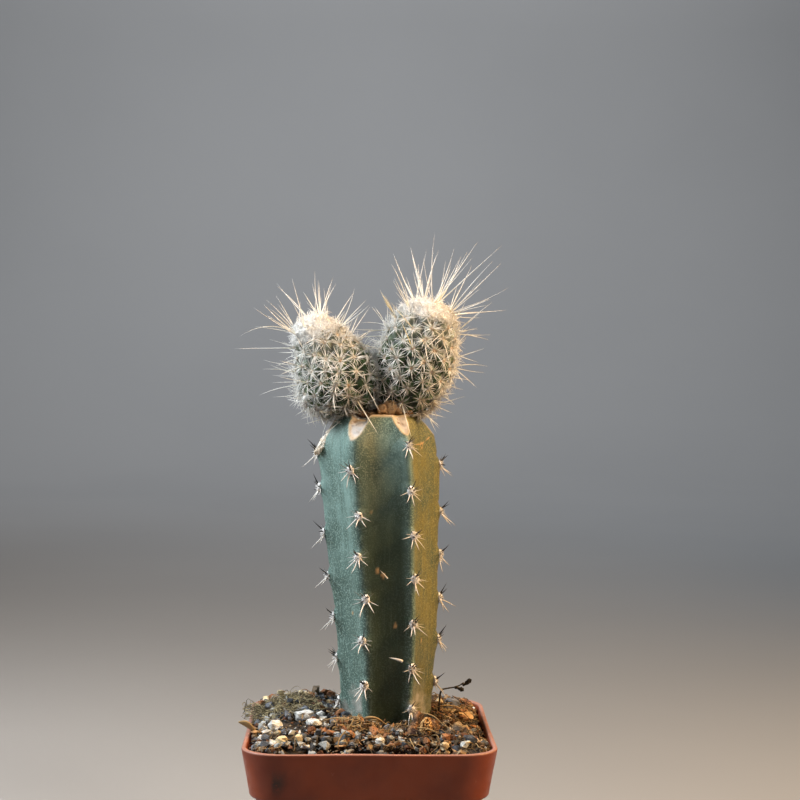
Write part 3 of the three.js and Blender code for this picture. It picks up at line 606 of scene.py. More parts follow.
@dataclass(frozen=True)
class SkinFinish:
    """The column's waxy skin: blue-green bloom on green flesh, riper on one side with painted warm light
    there too, painted shade on the front faces, and corky cuts.
    """

    bloom: Colour = (0.168, 0.272, 0.250)
    flesh: Colour = (0.041, 0.080, 0.062)
    # painted shade: darkens the front faces between the front ribs, where little light falls
    deep: Colour = (0.019, 0.034, 0.011)
    speck: Colour = (0.26, 0.38, 0.345)
    # yellow of that side: partly the skin's own, partly painted warm light from the lamp on the right
    ripe_and_painted_warm_light: Colour = (0.158, 0.138, 0.038)
    ripe_and_warm_lit_speck: Colour = (0.31, 0.265, 0.10)
    cork: Colour = (0.58, 0.53, 0.49)
    cork_warm: Colour = (0.30, 0.21, 0.14)
    edge: Colour = (0.62, 0.48, 0.32)
    mark: Colour = (0.48, 0.30, 0.14)

    def material(self) -> Material:
        """Builds the material; it reads "scar", "edge", "ripe", "old", "deep", "foot" and "mark".

        Returns:
            The finished material.
        """
        made = Surface("waxy_skin")
        # the yellow side's colour is partly painted warm light from the lamp on the right
        ripe_and_painted_warm_light = made.value("ripe_and_painted_warm_light")
        base = made.mix(ripe_and_painted_warm_light, self.bloom, self.ripe_and_painted_warm_light)
        speck = made.mix(ripe_and_painted_warm_light, self.speck, self.ripe_and_warm_lit_speck)
        fine, finest, corky = (made.streaks(squeeze) for squeeze in (0.12, 0.06, 0.35))
        skin = made.coat(base, self.flesh, made.mask(130, 0.38, 0.64, 6.0), 0.62)
        skin = made.coat(skin, self.flesh, made.mask(900, 0.45, 0.72, 5.0, fine), 0.5)
        skin = made.coat(skin, self.flesh, made.value("old"), 0.7)
        skin = made.coat(skin, speck, made.mask(2500, 0.50, 0.63, 2.0), 0.75)
        skin = made.coat(skin, speck, made.mask(1500, 0.58, 0.72, 4.0, finest), 0.6)
        # painted shade: the value "deep" darkens the front faces between the front ribs, and the yellow
        # side towards its foot
        skin = made.coat(skin, self.deep, made.value("deep"), 0.86)
        cork = made.mix(made.mask(520, 0.50, 0.66, 6.0, corky), self.cork, self.cork_warm)
        worn = made.math("MULTIPLY", made.value("foot"), made.mask(260, 0.30, 0.62, 7.0))
        colour = made.coat(skin, self.cork, worn, 0.6)
        colour = made.mix(made.value("mark"), colour, self.mark)
        colour = made.mix(made.value("scar"), colour, cork)
        colour = made.mix(made.value("edge"), colour, self.edge)
        roughness = made.spread(made.mask(600, 0.3, 0.7), 0, 1, (0.46, 0.62))
        return made.finish(colour, roughness, made.grain(3000, 500, 0.4), 0.10)


@dataclass(frozen=True)
class FleshFinish:
    """The heads' green flesh, with painted shade darkest in the furrows between the areoles, and hidden by
    wool at the growing tip.
    """

    tip: Colour = (0.12, 0.17, 0.07)
    body: Colour = (0.034, 0.080, 0.026)
    # painted shade in the furrows between the areoles
    gap: Colour = (0.007, 0.016, 0.007)
    wool: Colour = (0.90, 0.89, 0.86)

    def material(self) -> Material:
        """Builds the material; it reads the values "gap" and "wool".

        Returns:
            The finished material.
        """
        made = Surface("head_flesh")
        gap = made.value("gap")
        colour = made.mix(made.spread(gap, 0.05, 0.45), self.tip, self.body)
        # painted shade: near black deep in the furrows
        colour = made.mix(made.spread(gap, 0.55, 1.0), colour, self.gap)
        colour = made.coat(colour, self.tip, made.mask(800, 0.5, 0.75), 0.3)
        colour = made.mix(made.value("wool"), colour, self.wool)
        return made.finish(colour, 0.55, made.grain(4200, 900, 0.4), 0.08)


@dataclass(frozen=True)
class SpineFinish:
    """Spines, hairs and straws: coloured from root to tip, and darker with the value "tone"."""

    name: str
    root: Colour
    shaft: Colour
    tip: Colour
    dark: Colour
    roughness: float = 0.42
    root_end: float = 0.3
    tip_start: float = 0.75
    # how much of the light passes through a strand, and how deep in millimetres
    glow: float = 0.0
    glow_depth: float = 0.3

    def material(self) -> Material:
        """Builds the material; it reads the values "along" and "tone".

        Returns:
            The finished material.
        """
        made = Surface(self.name)
        made.put(made.shader["Subsurface Weight"], self.glow)
        made.put(made.shader["Subsurface Radius"], (1.0, 1.0, 1.0))
        made.put(made.shader["Subsurface Scale"], self.glow_depth * MM)
        along = made.value("along")
        colour = made.mix(made.spread(along, 0.0, self.root_end), self.root, self.shaft)
        colour = made.mix(made.spread(along, self.tip_start, 1.0), colour, self.tip)
        colour = made.mix(made.value("tone"), colour, self.dark)
        colour = made.coat(colour, self.root, made.mask(1800, 0.5, 0.8), 0.25)
        return made.finish(colour, self.roughness, made.grain(6000, 1500, 0.4), 0.02)


@dataclass(frozen=True)
class StoneFinish:
    """Broken stone, bark or soil: three shades by the value "tone", with grain, pores, grime and painted
    contact shade underneath.
    """

    name: str
    dark: Colour
    middle: Colour
    light: Colour
    speck: Colour
    pore_width: float = 0.35
    pore_scale: float = 1500.0
    roughness: float = 0.88
    relief: float = 0.22
    squeeze: float = 1.0
    # grime at random, and painted contact shade on each piece's underside
    grime_and_contact_shade: Colour = (0.045, 0.032, 0.022)

    def material(self) -> Material:
        """Builds the material; it reads the values "tone" and "soil".

        Returns:
            The finished material.
        """
        made = Surface(self.name)
        cloudy = made.math("SUBTRACT", made.math("MULTIPLY", made.mask(420, 0.3, 0.7), 0.5), 0.25)
        tone = made.math("ADD", made.value("tone"), cloudy)
        colour = made.mix(made.spread(tone, 0.0, 0.5), self.dark, self.middle)
        colour = made.mix(made.spread(tone, 0.5, 1.0), colour, self.light)
        streaks = made.streaks(self.squeeze)
        colour = made.coat(colour, self.speck, made.mask(2600, 0.58, 0.70, 3.0, streaks), 0.6)
        # the value "soil" darkens each piece's underside: soil clinging there, and painted contact shade
        grime_and_contact_shade = made.math("MAXIMUM", made.value("soil"), made.mask(750, 0.58, 0.74, 5.0))
        colour = made.coat(colour, self.grime_and_contact_shade, grime_and_contact_shade, 0.6)
        pits = made.effect(pores(), {"Vector": streaks, "Scale": self.pore_scale,
                                     "Width": self.pore_width})
        colour = made.coat(colour, self.dark, pits["Mask"], 0.75)
        height = made.math("ADD", made.math("MULTIPLY", pits["Height"], 0.5),
                           made.math("MULTIPLY", made.grain(3400, 900, 0.55), 0.5))
        return made.finish(colour, self.roughness, height, self.relief)


@dataclass(frozen=True)
class StageFinish:
    """Plain pale paper for the floor and the wall behind."""

    pale: Colour = (0.335, 0.345, 0.36)
    shade: Colour = (0.32, 0.33, 0.345)

    def material(self) -> Material:
        """Builds the material."""
        made = Surface("pale_paper")
        colour = made.mix(made.mask(3, 0.3, 0.7), self.pale, self.shade)
        return made.finish(colour, 0.85, made.grain(900, 60, 0.3), 0.03)


class Stone(Enum):
    """The kinds of loose grit, each with the record's slot that it takes and its finish."""

    PALE = "pale_stone", StoneFinish("pale_stone", (0.13, 0.135, 0.13), (0.34, 0.35, 0.34),
                                     (0.80, 0.80, 0.77), (0.88, 0.88, 0.85), 0.30, 1700)
    SLATE = "dark_stone", StoneFinish("slate_stone", (0.017, 0.018, 0.022), (0.070, 0.078, 0.092),
                                      (0.20, 0.21, 0.235), (0.30, 0.31, 0.33), 0.22, 1900)
    TAN = "tan_stone", StoneFinish("tan_stone", (0.14, 0.085, 0.045), (0.38, 0.27, 0.15),
                                   (0.78, 0.67, 0.44), (0.84, 0.76, 0.58), 0.25, 1600)
    RUST = "bark", StoneFinish("rust_stone", (0.050, 0.019, 0.009), (0.17, 0.065, 0.025),
                               (0.40, 0.18, 0.075), (0.50, 0.29, 0.15), 0.42, 1300)
    BROWN = "soil_grit", StoneFinish("brown_crumb", (0.018, 0.012, 0.009), (0.060, 0.040, 0.026),
                                     (0.16, 0.115, 0.075), (0.30, 0.23, 0.16), 0.45, 1200)

    def __init__(self, slot: str, finish: StoneFinish) -> None:
        """Keeps a kind's slot and finish."""
        self.slot = slot
        self.finish = finish


SOIL = StoneFinish("dark_soil", (0.009, 0.007, 0.005), (0.030, 0.021, 0.014), (0.085, 0.060, 0.040),
                   (0.16, 0.12, 0.085), 0.5, 900, 0.95, 0.5)
BARK = StoneFinish("bark", (0.036, 0.020, 0.012), (0.27, 0.130, 0.052), (0.62, 0.39, 0.19),
                   (0.70, 0.50, 0.30), 0.5, 800, 0.85, 0.35, 0.3)
KNOT = StoneFinish("bark_knot", (0.13, 0.055, 0.016), (0.46, 0.235, 0.075), (0.78, 0.48, 0.19),
                   (0.82, 0.58, 0.30), 0.4, 900, 0.8, 0.3, 0.4)
CRUST = StoneFinish("papery_crust", (0.30, 0.21, 0.13), (0.60, 0.50, 0.38), (0.84, 0.78, 0.68),
                    (0.86, 0.82, 0.76), 0.35, 1300, 0.85, 0.2)
DRY_STEM = StoneFinish("dry_stem", (0.012, 0.010, 0.008), (0.042, 0.034, 0.026), (0.12, 0.10, 0.075),
                       (0.20, 0.17, 0.13), 0.4, 1400, 0.85, 0.15, 0.3)
CORK = StoneFinish("graft_cork", (0.10, 0.042, 0.014), (0.38, 0.19, 0.075), (0.64, 0.42, 0.22),
                   (0.70, 0.54, 0.34), 0.4, 1100, 0.85, 0.25)

COLUMN_SPINES = SpineFinish("column_spines", (0.84, 0.80, 0.76), (0.82, 0.77, 0.72), (0.24, 0.18, 0.14),
                            (0.012, 0.009, 0.008), 0.38, glow=0.5)
COLUMN_FELT = SpineFinish("column_felt", (0.80, 0.78, 0.77), (0.86, 0.84, 0.83), (0.90, 0.89, 0.88),
                          (0.16, 0.12, 0.11), 0.9, glow=0.7)
# its dark, which the old spines at the heads' base take, is partly painted shade
RADIAL_SPINES = SpineFinish("radial_spines", (0.80, 0.66, 0.46), (0.93, 0.92, 0.89), (0.95, 0.95, 0.94),
                            (0.21, 0.17, 0.12), 0.40, 0.22, glow=0.8)
LONG_SPINES = SpineFinish("long_spines", (0.90, 0.82, 0.64), (0.95, 0.93, 0.88), (0.95, 0.94, 0.91),
                          (0.74, 0.58, 0.26), 0.40, glow=0.7)
WOOL = SpineFinish("wool", (0.93, 0.92, 0.89), (0.95, 0.95, 0.94), (0.96, 0.96, 0.95),
                   (0.55, 0.33, 0.15), 0.9, glow=1.0)
STRAW = SpineFinish("straw", (0.20, 0.12, 0.05), (0.42, 0.28, 0.12), (0.56, 0.44, 0.25),
                    (0.040, 0.024, 0.014), 0.75, 0.2, 0.8)
MOSS = SpineFinish("moss", (0.22, 0.17, 0.08), (0.56, 0.46, 0.25), (0.76, 0.66, 0.43),
                   (0.040, 0.030, 0.018), 0.8, 0.3, 0.6)

MATERIALS: dict[object, Material] = {}


def dress(mesh: bpy.types.Mesh, finish: object) -> None:
    """Gives a mesh the material of a finish, built the first time that it is asked for.

    Args:
        mesh: the mesh.
        finish: the finish.
    """
    if finish not in MATERIALS:
        MATERIALS[finish] = finish.material()
    mesh.materials.append(MATERIALS[finish])


def smooth_mesh(name: str, points: list, faces: list) -> bpy.types.Mesh:
    """Makes a smooth-shaded mesh.

    Args:
        name: what it is called.
        points: its points in metres.
        faces: its faces, as lists of point numbers.

    Returns:
        The mesh.
    """
    mesh = bpy.data.meshes.new(name)
    mesh.from_pydata(points, [], faces)
    mesh.polygons.foreach_set("use_smooth", [True] * len(faces))
    return mesh


def linked(name: str, data: bpy.types.ID) -> bpy.types.Object:
    """Puts a mesh, a light or a camera in the scene.

    Args:
        name: what the object is called.
        data: what it shows.

    Returns:
        The new object.
    """
    made = bpy.data.objects.new(name, data)
    bpy.context.scene.collection.objects.link(made)
    return made


def make_piece(name: str, skin: Skin, finish: object, nodes: tuple[str, ...] = (),
               crease: float | None = None) -> bpy.types.Object:
    """Turns a skin into a dressed object of the part.

    Args:
        name: the piece's name.
        skin: its shape in millimetres above the rim.
        finish: the finish that makes its material.
        nodes: the solids that it stands for.
        crease: the angle in degrees past which an edge stays sharp, if any does.

    Returns:
        The new object, riding on the part's one body.
    """
    places = (skin.points + UP * POT_HEIGHT) * MM
    mesh = smooth_mesh(name, places.tolist(), [row for group in skin.faces for row in group.tolist()])
    for label, values in skin.values.items():
        layer = mesh.attributes.new(label, "FLOAT", "POINT")
        layer.data.foreach_set("value", np.ascontiguousarray(values, np.float32))
    if crease is not None:
        mesh.set_sharp_from_angle(angle=math.radians(crease))
    dress(mesh, finish)
    piece = linked(name, mesh)
    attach(piece, "root")
    if nodes:
        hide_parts(*nodes)
    LOG.info("%s: %d points, %d faces", name, len(mesh.vertices), len(mesh.polygons))
    return piece


# The pot

@dataclass(frozen=True)
class Pot:
    """The square plastic pot: a stepped collar, a rolled lip and four drainage holes."""

    rim_half: float = 34.0
    corner_radius: float = 9.2
    wall: float = 1.2
    # [height, half width] down to up outside, then up to down inside
    outside: Rows = (
        (-62, 24.0), (-61.85, 24.5), (-61.6, 24.85), (-61.2, 25.05), (-50, 26.3), (-38, 27.65),
        (-26, 29.0), (-15, 30.2), (-14.0, 30.3), (-13.65, 30.4), (-13.5, 30.65), (-13.25, 31.35),
        (-13.05, 31.75), (-12.7, 31.95), (-12.2, 32.02), (-8, 32.7), (-4, 33.4), (-1.5, 33.82),
        (-0.6, 33.96), (-0.35, 34.0), (-0.18, 33.97), (-0.06, 33.88), (0, 33.7))
    inside: Rows = ((0, 33.15), (-0.12, 32.9), (-0.4, 32.75), (-6, 31.75), (-12.7, 30.7), (-14.2, 29.15),
                    (-38, 26.4), (-59.8, 23.95), (-60.3, 23.7), (-60.5, 23.3))
    corner_steps: int = 12
    side_steps: int = 16
    drain_radius: float = 3.5
    drain_offset: float = 15.0
    drill_depth: float = 6.0
    bow: float = 0.25
    waviness: float = 0.18
    smudge: Point = (-24.4, -32.6, -8.6)
    smudge_radius: float = 1.5

    def ring(self, half: float) -> Array:
        """Draws the pot's outline, with rounded corners and slightly hollow sides.

        Args:
            half: the half width that it has.

        Returns:
            Points [x, y], counter-clockwise from above.
        """
        radius = self.corner_radius * half / self.rim_half
        reach = half - radius
        points = []
        for corner in range(4):
            quarter = corner * math.pi / 2
            c, s = math.cos(quarter), math.sin(quarter)
            angles = np.linspace(0, math.pi / 2, self.corner_steps + 1)
            run = np.linspace(reach, -reach, self.side_steps + 1)[1:-1]
            sag = self.bow * (1 - (run / reach) ** 2) if reach > 0 else 0
            side = np.stack([run, half - sag], axis=-1)
            points.append(np.concatenate([reach + radius * level_ways(angles), side]) @ [[c, s], [-s, c]])
        return np.concatenate(points)

    def inside_half(self, height: Array | float) -> Array:
        """The inside half width at a height."""
        rows = np.array(self.inside)[::-1]
        return np.interp(height, rows[:, 0], rows[:, 1])

    def build(self) -> None:
        """Makes the pot, with its holes cut."""
        rings = []
        for height, half in self.outside + self.inside:
            outline = self.ring(half)
            rings.append(np.column_stack([outline, np.full(len(outline), float(height))]))
        skin = loft(np.array(rings))
        points = skin.points
        points[:, 2] += fade(points[:, 2], -3, 0) * self.waviness * rough(points * [1, 1, 0], 14, 2)
        from_smudge = np.linalg.norm(points - self.smudge, axis=1)
        dirt = fade(from_smudge, self.smudge_radius * 1.3, self.smudge_radius * 0.4)
        # the value "lip" marks the top of the rim, where a highlight is painted
        skin = skin.with_values(lip=fade(points[:, 2], -0.34, -0.14), dirt=dirt)
        self.cut_drains(make_piece("pot_shell", skin, PlasticFinish(), ("pot",), 40))

    def cut_drains(self, pot: bpy.types.Object) -> None:
        """Cuts the four round holes through the pot's base.

        Args:
            pot: the pot without its holes.
        """
        drills = bmesh.new()
        radius = self.drain_radius * MM
        for x in (-1, 1):
            for y in (-1, 1):
                place = Matrix.Translation(Vector((x, y, 0)) * self.drain_offset * MM)
                bmesh.ops.create_cone(drills, cap_ends=True, segments=40, radius1=radius, radius2=radius,
                                      depth=self.drill_depth * MM, matrix=place)
        mesh = bpy.data.meshes.new("drills")
        drills.to_mesh(mesh)
        drills.free()
        tool = linked("drills", mesh)
        cut = pot.modifiers.new("drains", "BOOLEAN")
        cut.object = tool
        cut.solver = "EXACT"
        graph = bpy.context.evaluated_depsgraph_get()
        pierced = bpy.data.meshes.new_from_object(pot.evaluated_get(graph))
        pot.modifiers.clear()
        pot.data = pierced
        bpy.data.objects.remove(tool)


# The column

@dataclass(frozen=True)
class Column:
    """The ribbed stock, with its felt pads, its spines and the cut ends of its ribs."""

    ribs: int = 6
    first_rib: float = 33.8
    # how far each rib is turned from its even place, in degrees
    rib_turns: tuple[float, ...] = (-4, 0, 0, 0, 0, 0)
    valley_ratio: float = 0.84
    # how far each crest and every valley is rounded, as a share of the way between them
    crest_rounds: tuple[float, ...] = (0.15, 0.3, 0.3, 0.3, 0.4, 0.55)
    valley_round: float = 0.30
    crest: Rows = ((-27, 7), (-24, 10.5), (-15, 12), (0, 12.5), (14, 13.1), (24, 13.8), (34, 14.4),
                   (43, 15.1), (59, 15.9), (69, 16.5), (77, 16.4), (80.4, 16), (83, 15.2),
                   (85.5, 13.9), (87.5, 12))
    lean: Rows = ((-27, 4.8), (24, 4.9), (34, 4.6), (43, 3.9), (59, 3.1), (69, 2.6), (78, 1.9),
                  (87.5, 1.8))
    top: float = 87.5
    bevel_foot: tuple[float, ...] = (81.5, 81, 80.5, 81, 77.5, 80.4)
    bevel_top_radius: float = 10.4
    # heights of the areoles, rib by rib from the first
    areoles: Rows = ((79.4, 67.1, 54.9, 43, 30.6, 18.3, 7), (73.3, 60.1, 48, 35.8, 24.2, 12.2),
                     (78.6, 66.7, 54.8, 42.9, 31, 19.1, 7.2), (72.8, 60.9, 49, 37.1, 25.2, 13.3),
                     (76.6, 66.7, 54.1, 42.2, 30.8, 19.2, 6.9), (72.7, 60.3, 49, 37.5, 25.9, 13.5))
    # how far sideways each of them stands from its rib's crest, on the ribs where that was measured
    areole_shifts: Rows = ((-0.1, -0.4, 0.4, 0.6, -0.25, -0.3, 0), (), (), (), (),
                           (-0.6, 0.9, 0, 1.1, -0.7, -0.4))
    pad_radius: float = 1.15
    pad_hairs: int = 70
    lip_start: float = 0.12
    lip_end: float = 0.72
    crown_sinks: tuple[float, ...] = (0.2, 0.9, 0.9, 0.9, 0.9, 1.5)
    sides: int = 252
    crust_rib: int = 4
    # [share of the way up the bevel, distance aside, radius, tone]
    crust_lumps: Rows = ((-0.05, 0.5, 1.1, 0.75), (0.07, 1.1, 1.45, 0.9), (0.19, 0.7, 1.3, 0.6),
                         (0.30, 1.3, 1.25, 0.95), (0.42, 0.8, 1.0, 0.7), (0.53, 1.1, 0.8, 0.85),
                         (0.0, 1.9, 0.9, 0.4), (0.22, 2.0, 0.8, 0.8))
    # [angle, height, half width] of corky marks on the skin
    marks: Rows = ((-8, 45.3, 0.9), (-2, 43.9, 0.75), (-12, 61, 0.5), (10, 30, 0.6), (52, 25, 0.7),
                   (-50, 33, 0.5), (140, 52, 1.2), (200, 30, 1.4), (235, 66, 0.8))
    # a corky crescent on the right: its ends as [angle, height], its sag, and the ring below it
    crescent: Rows = ((47, 79.4), (81, 80.9))
    crescent_sag: float = 0.6
    crescent_ring: tuple[float, float, float] = (60, 79.0, 0.8)
    crescent_half: float = 0.25
    # [angle, height, half width] of weathered skin near the soil
    weathered: Rows = ((-52, 8.5, 5.5), (-70, 3, 6), (50, 9, 6.5), (70, 3, 7), (170, 5, 9), (250, 6, 7))
    # [angle round the pad from sideways, angle from straight out, length, thickness, tone]
    spines: Rows = ((-94, 45, 5.8, 0.46, 0.0), (-52, 62, 4.7, 0.42, 0.02), (-124, 60, 4.9, 0.44, 0.0),
                    (-20, 74, 3.8, 0.32, 0.05), (-160, 74, 3.7, 0.30, 0.08), (8, 78, 3.1, 0.26, 0.3),
                    (172, 78, 3.1, 0.26, 0.35), (38, 72, 3.0, 0.28, 0.85), (142, 70, 3.4, 0.28, 0.85),
                    (94, 44, 4.1, 0.52, 1.0), (64, 38, 3.2, 0.46, 1.0), (122, 56, 2.5, 0.44, 1.0),
                    (-150, 14, 1.6, 0.7, 0.97), (35, 16, 1.6, 0.7, 1.0), (-30, 48, 1.6, 0.6, 0.0),
                    (150, 50, 1.5, 0.6, 0.0))
    # [x, y, height] of the root and of the tip, the bend in the middle, and the thickness of shed spines
    shed_spines: Rows = ((8.9, -13.2, 20.5, 5.0, -12.7, 21.4, 0, -0.3, 0.2, 0.9),
                         (4.6, -13.6, 43.2, 2.4, -13.4, 45.6, 0, -0.3, 0.1, 0.5))
    pad_swelling: float = 0.6
    pad_furrow: float = 0.3
    mark_rise: float = 0.16
    # shares of the top's radius at the rings inside its rim
    crown_rings: tuple[float, ...] = (0.93, 0.8, 0.55, 0.25)

    def rib_angle(self, rib: int) -> float:
        """The angle of a rib's crest."""
        return math.radians(self.first_rib + rib * 360 / self.ribs + self.rib_turns[rib % self.ribs])

    def nearest_rib(self, angle: Array) -> tuple[Array, Array]:
        """Finds the rib nearest to each angle.

        Args:
            angle: angles round the column.

        Returns:
            The ribs' numbers, and the shares of the way from their crests to the valleys.
        """
        crests = np.array([self.rib_angle(rib) for rib in range(self.ribs + 1)])
        phase = np.interp((angle - crests[0]) % FULL_TURN + crests[0], crests, np.arange(self.ribs + 1))
        nearest = np.round(phase)
        return nearest.astype(int) % self.ribs, 2 * np.abs(phase - nearest)

    def swell(self, angle: Array) -> Array:
        """Works out the section's outline: flat faces between rounded crests and valleys.

        Args:
            angle: angles round the column.

        Returns:
            How much of a rib there is at each: 1 on a crest and 0 in a valley.
        """
        rib, from_crest = self.nearest_rib(angle)
        half, low = math.pi / self.ribs, self.valley_ratio
        to_valley = self.rounded(1 - from_crest, self.valley_round)
        aside = half * self.rounded(1 - to_valley, np.array(self.crest_rounds)[rib])
        face = low * math.sin(half) * np.cos(aside) + (1 - low * math.cos(half)) * np.sin(aside)
        return (low * math.sin(half) / face - low) / (1 - low)

    @staticmethod
    def rounded(share: Array, amount: Array | float) -> Array:
        """Shares from 0 to 1 that start off smoothly."""
        return (np.hypot(share, amount) - amount) / (np.hypot(1, amount) - amount)

    def radius(self, angle: Array, height: Array) -> Array:
        """The column's radius at angles and heights."""
        share = self.valley_ratio + (1 - self.valley_ratio) * self.swell(angle)
        return smooth_at(self.crest, height) * share

    def axis_at(self, height: Array) -> Array:
        """Points on the column's leaning axis at heights."""
        return np.stack([smooth_at(self.lean, height), np.zeros_like(height), height], axis=-1)

    def place(self, angle: Array, height: Array, grow: Array | float = 0.0) -> Array:
        """Points on the uncut skin, or at a distance outside it."""
        return self.axis_at(height) + outward(angle) * (self.radius(angle, height) + grow)[..., None]

    def bevel(self, rib: int) -> tuple[Array, Array, Array]:
        """Finds where the cut that bevels a rib's end runs.

        Args:
            rib: the rib's number.

        Returns:
            The way out at that rib, and the points at the cut's foot and at its top.
        """
        angle = np.array(self.rib_angle(rib))
        low = self.place(angle, np.array(float(self.bevel_foot[rib])))
        way = outward(angle)
        return way, low, self.axis_at(np.array(self.top)) + way * self.bevel_top_radius

    def cuts(self) -> list[tuple[Array, Array]]:
        """The planes that bevel the ribs' ends, each as its outward normal and a point on it."""
        bevels = [self.bevel(rib) for rib in range(self.ribs)]
        return [(unit(np.cross(np.cross(UP, out), high - low)), low) for out, low, high in bevels]

    def holds(self, points: Array, margin: float = 0.0) -> Array:
        """Tells whether points lie in the column.

        Args:
            points: the points.
            margin: how far outside it they may be.

        Returns:
            One answer for each point.
        """
        height = points[..., 2]
        flat = points - self.axis_at(height)
        angle = np.arctan2(flat[..., 0], -flat[..., 1])
        held = np.hypot(flat[..., 0], flat[..., 1]) < self.radius(angle, height) + margin
        held &= height < self.top + margin
        for normal, through in self.cuts():
            held &= (points - through) @ normal < margin
        return held

    def lifted_clear(self, points: Array, margin: float) -> Array:
        """Raises the points inside the column to just above it.

        Args:
            points: the points.
            margin: how far outside the column they have to be.

        Returns:
            The points, with those outside it where they were.
        """
        low, high = points[:, 2].copy(), np.full(len(points), self.top + margin + 0.01)
        held = self.holds(points, margin)
        for _ in range(14):
            middle = (low + high) / 2
            inside = self.holds(np.column_stack([points[:, :2], middle]), margin)
            low, high = np.where(inside, middle, low), np.where(inside, high, middle)
        return np.column_stack([points[:, :2], np.where(held, high, points[:, 2])])

    def pads(self) -> list[tuple[float, float]]:
        """Every areole as its angle and height."""
        return [(self.rib_angle(rib) + shift / float(smooth_at(self.crest, height)), height)
                for rib, (heights, shifts) in enumerate(zip(self.areoles, self.areole_shifts))
                for height, shift in zip(heights, shifts or (0,) * len(heights))]

    def build(self) -> None:
        """Makes the skin, the felt pads and the spines."""
        make_piece("column_body", self.skin(), SkinFinish(), ("column",))
        rng = np.random.default_rng(3)
        make_piece("column_felt", self.felt(rng), COLUMN_FELT)
        make_piece("shoulder_crust", self.crust(), CRUST, crease=40)
        make_piece("column_spines", self.spine_skin(rng), COLUMN_SPINES)

    def skin(self) -> Skin:
        """The skin with its swollen areoles, bevelled rib ends and values for its finish.

        Returns:
            A closed skin, from its foot in the soil to the cut at its top.
        """
        heights = np.concatenate([np.linspace(-27, -4, 7), np.arange(-3.2, 76, 0.75),
                                  np.arange(76, 87.3, 0.26), [self.top]])
        turn = turns(self.sides)
        angle, height = np.meshgrid(turn, heights)
        marks = self.blots(angle, height, self.marks + self.crescent_spots(), 1.0, 0.55)
        rings = self.place(angle, height, self.relief(angle, height) + self.mark_rise * marks)
        past = np.full(angle.shape, -9.0)
        for normal, through in self.cuts():
            beyond = (rings - through) @ normal
            inward = outward(angle) @ normal
            cut = fade(beyond, self.lip_start, self.lip_end) * beyond
            rings -= outward(angle) * np.where(beyond > 0, cut / np.maximum(inward, 0.05), 0)[..., None]
            past = np.maximum(past, beyond)
        flat = rings.reshape(-1, 3)
        ragged = past + 0.10 * rough(flat, 0.9, 3).reshape(angle.shape)
        scar = fade(ragged, 0.30, 0.46)
        torn = 0.25 + 0.42 * rough(flat, 1.3, 4).reshape(angle.shape)
        rings -= outward(angle) * (scar * torn)[..., None]
        sink = np.array(self.crown_sinks)[self.nearest_rib(angle)[0]] * fade(self.swell(angle), 0.1, 0.75)
        rings[..., 2] -= sink * fade(height, 84.2, 87.5)
        lip = np.exp(-((ragged - 0.30) / 0.15) ** 2)
        ripe_and_painted_warm_light = self.painted_warm_light_and_ripeness(turn, heights)
        values = {
            "scar": scar, "edge": np.maximum(0.9 * lip, fade(height, 86.7, 87.2)), "ripe_and_painted_warm_light": ripe_and_painted_warm_light,
            # the value "deep" is painted shade on the front faces
            "old": fade(height, 66, 34) * (1 - ripe_and_painted_warm_light), "deep": self.painted_shade(turn, heights),
            "foot": self.blots(angle, height, self.weathered, 1.0, 0.2), "mark": marks,
        }
        crown = np.array([self.crown_ring(rings[-1], share) for share in self.crown_rings])
        ones = np.full((len(crown), self.sides), 1.0)
        values = {name: np.concatenate([value, ones * (name == "scar")]) for name, value in values.items()}
        return loft(np.concatenate([rings, crown])).with_values(
            **{name: np.append(value, [value[0, 0], value[-1, 0]]) for name, value in values.items()})

    def relief(self, angle: Array, height: Array) -> Array:
        """Works out how far the skin stands out: uneven all round, with a swelling under each areole.

        Args:
            angle: angles round the column.
            height: heights at those angles.

        Returns:
            The distances outward.
        """
        plain = self.place(angle, height).reshape(-1, 3)
        around = 0.35 * rough(plain, 16, 2) + 0.10 * rough(plain, 3.2, 3)
        grow = around.reshape(angle.shape) * fade(height, 88, 70) * 0.6
        for middle, pad in self.pads():
            aside = self.aside(angle, height, middle)
            above = height - pad
            bent = (above - 2.5 + 0.16 * aside**2) / 0.6
            grow += self.pad_swelling * np.exp(-(aside / 2.3) ** 2 - ((above + 0.4) / 2.4) ** 2)
            grow -= self.pad_furrow * np.exp(-(aside / 2.6) ** 2 - bent ** 2)
        return grow

    def crown_ring(self, rim: Array, share: float) -> Array:
        """A ring of the flat, slightly rough top inside its rim."""
        ring = rim.mean(axis=0) + (rim - rim.mean(axis=0)) * share
        return ring + UP * 0.2 * rough(ring, 2.0)[:, None] * (1 - share)

    def crescent_spots(self) -> Rows:
        """Spots along the corky crescent and round its ring, as rows of marks.

        Returns:
            Rows of [degrees round the column, height, radius].
        """
        (start, low), (end, high) = self.crescent
        middle, level, radius = self.crescent_ring
        spots = []
        for share in np.linspace(0, 1, 24):
            sag = self.crescent_sag * math.sin(math.pi * share)
            spots.append((start + (end - start) * share, low + (high - low) * share - sag,
                          self.crescent_half))
        for turn in np.linspace(0, FULL_TURN, 9)[:-1]:
            aside = math.degrees(radius * math.sin(turn) / float(smooth_at(self.crest, level)))
            spots.append((middle + aside, level + radius * math.cos(turn), self.crescent_half))
        return tuple(spots)

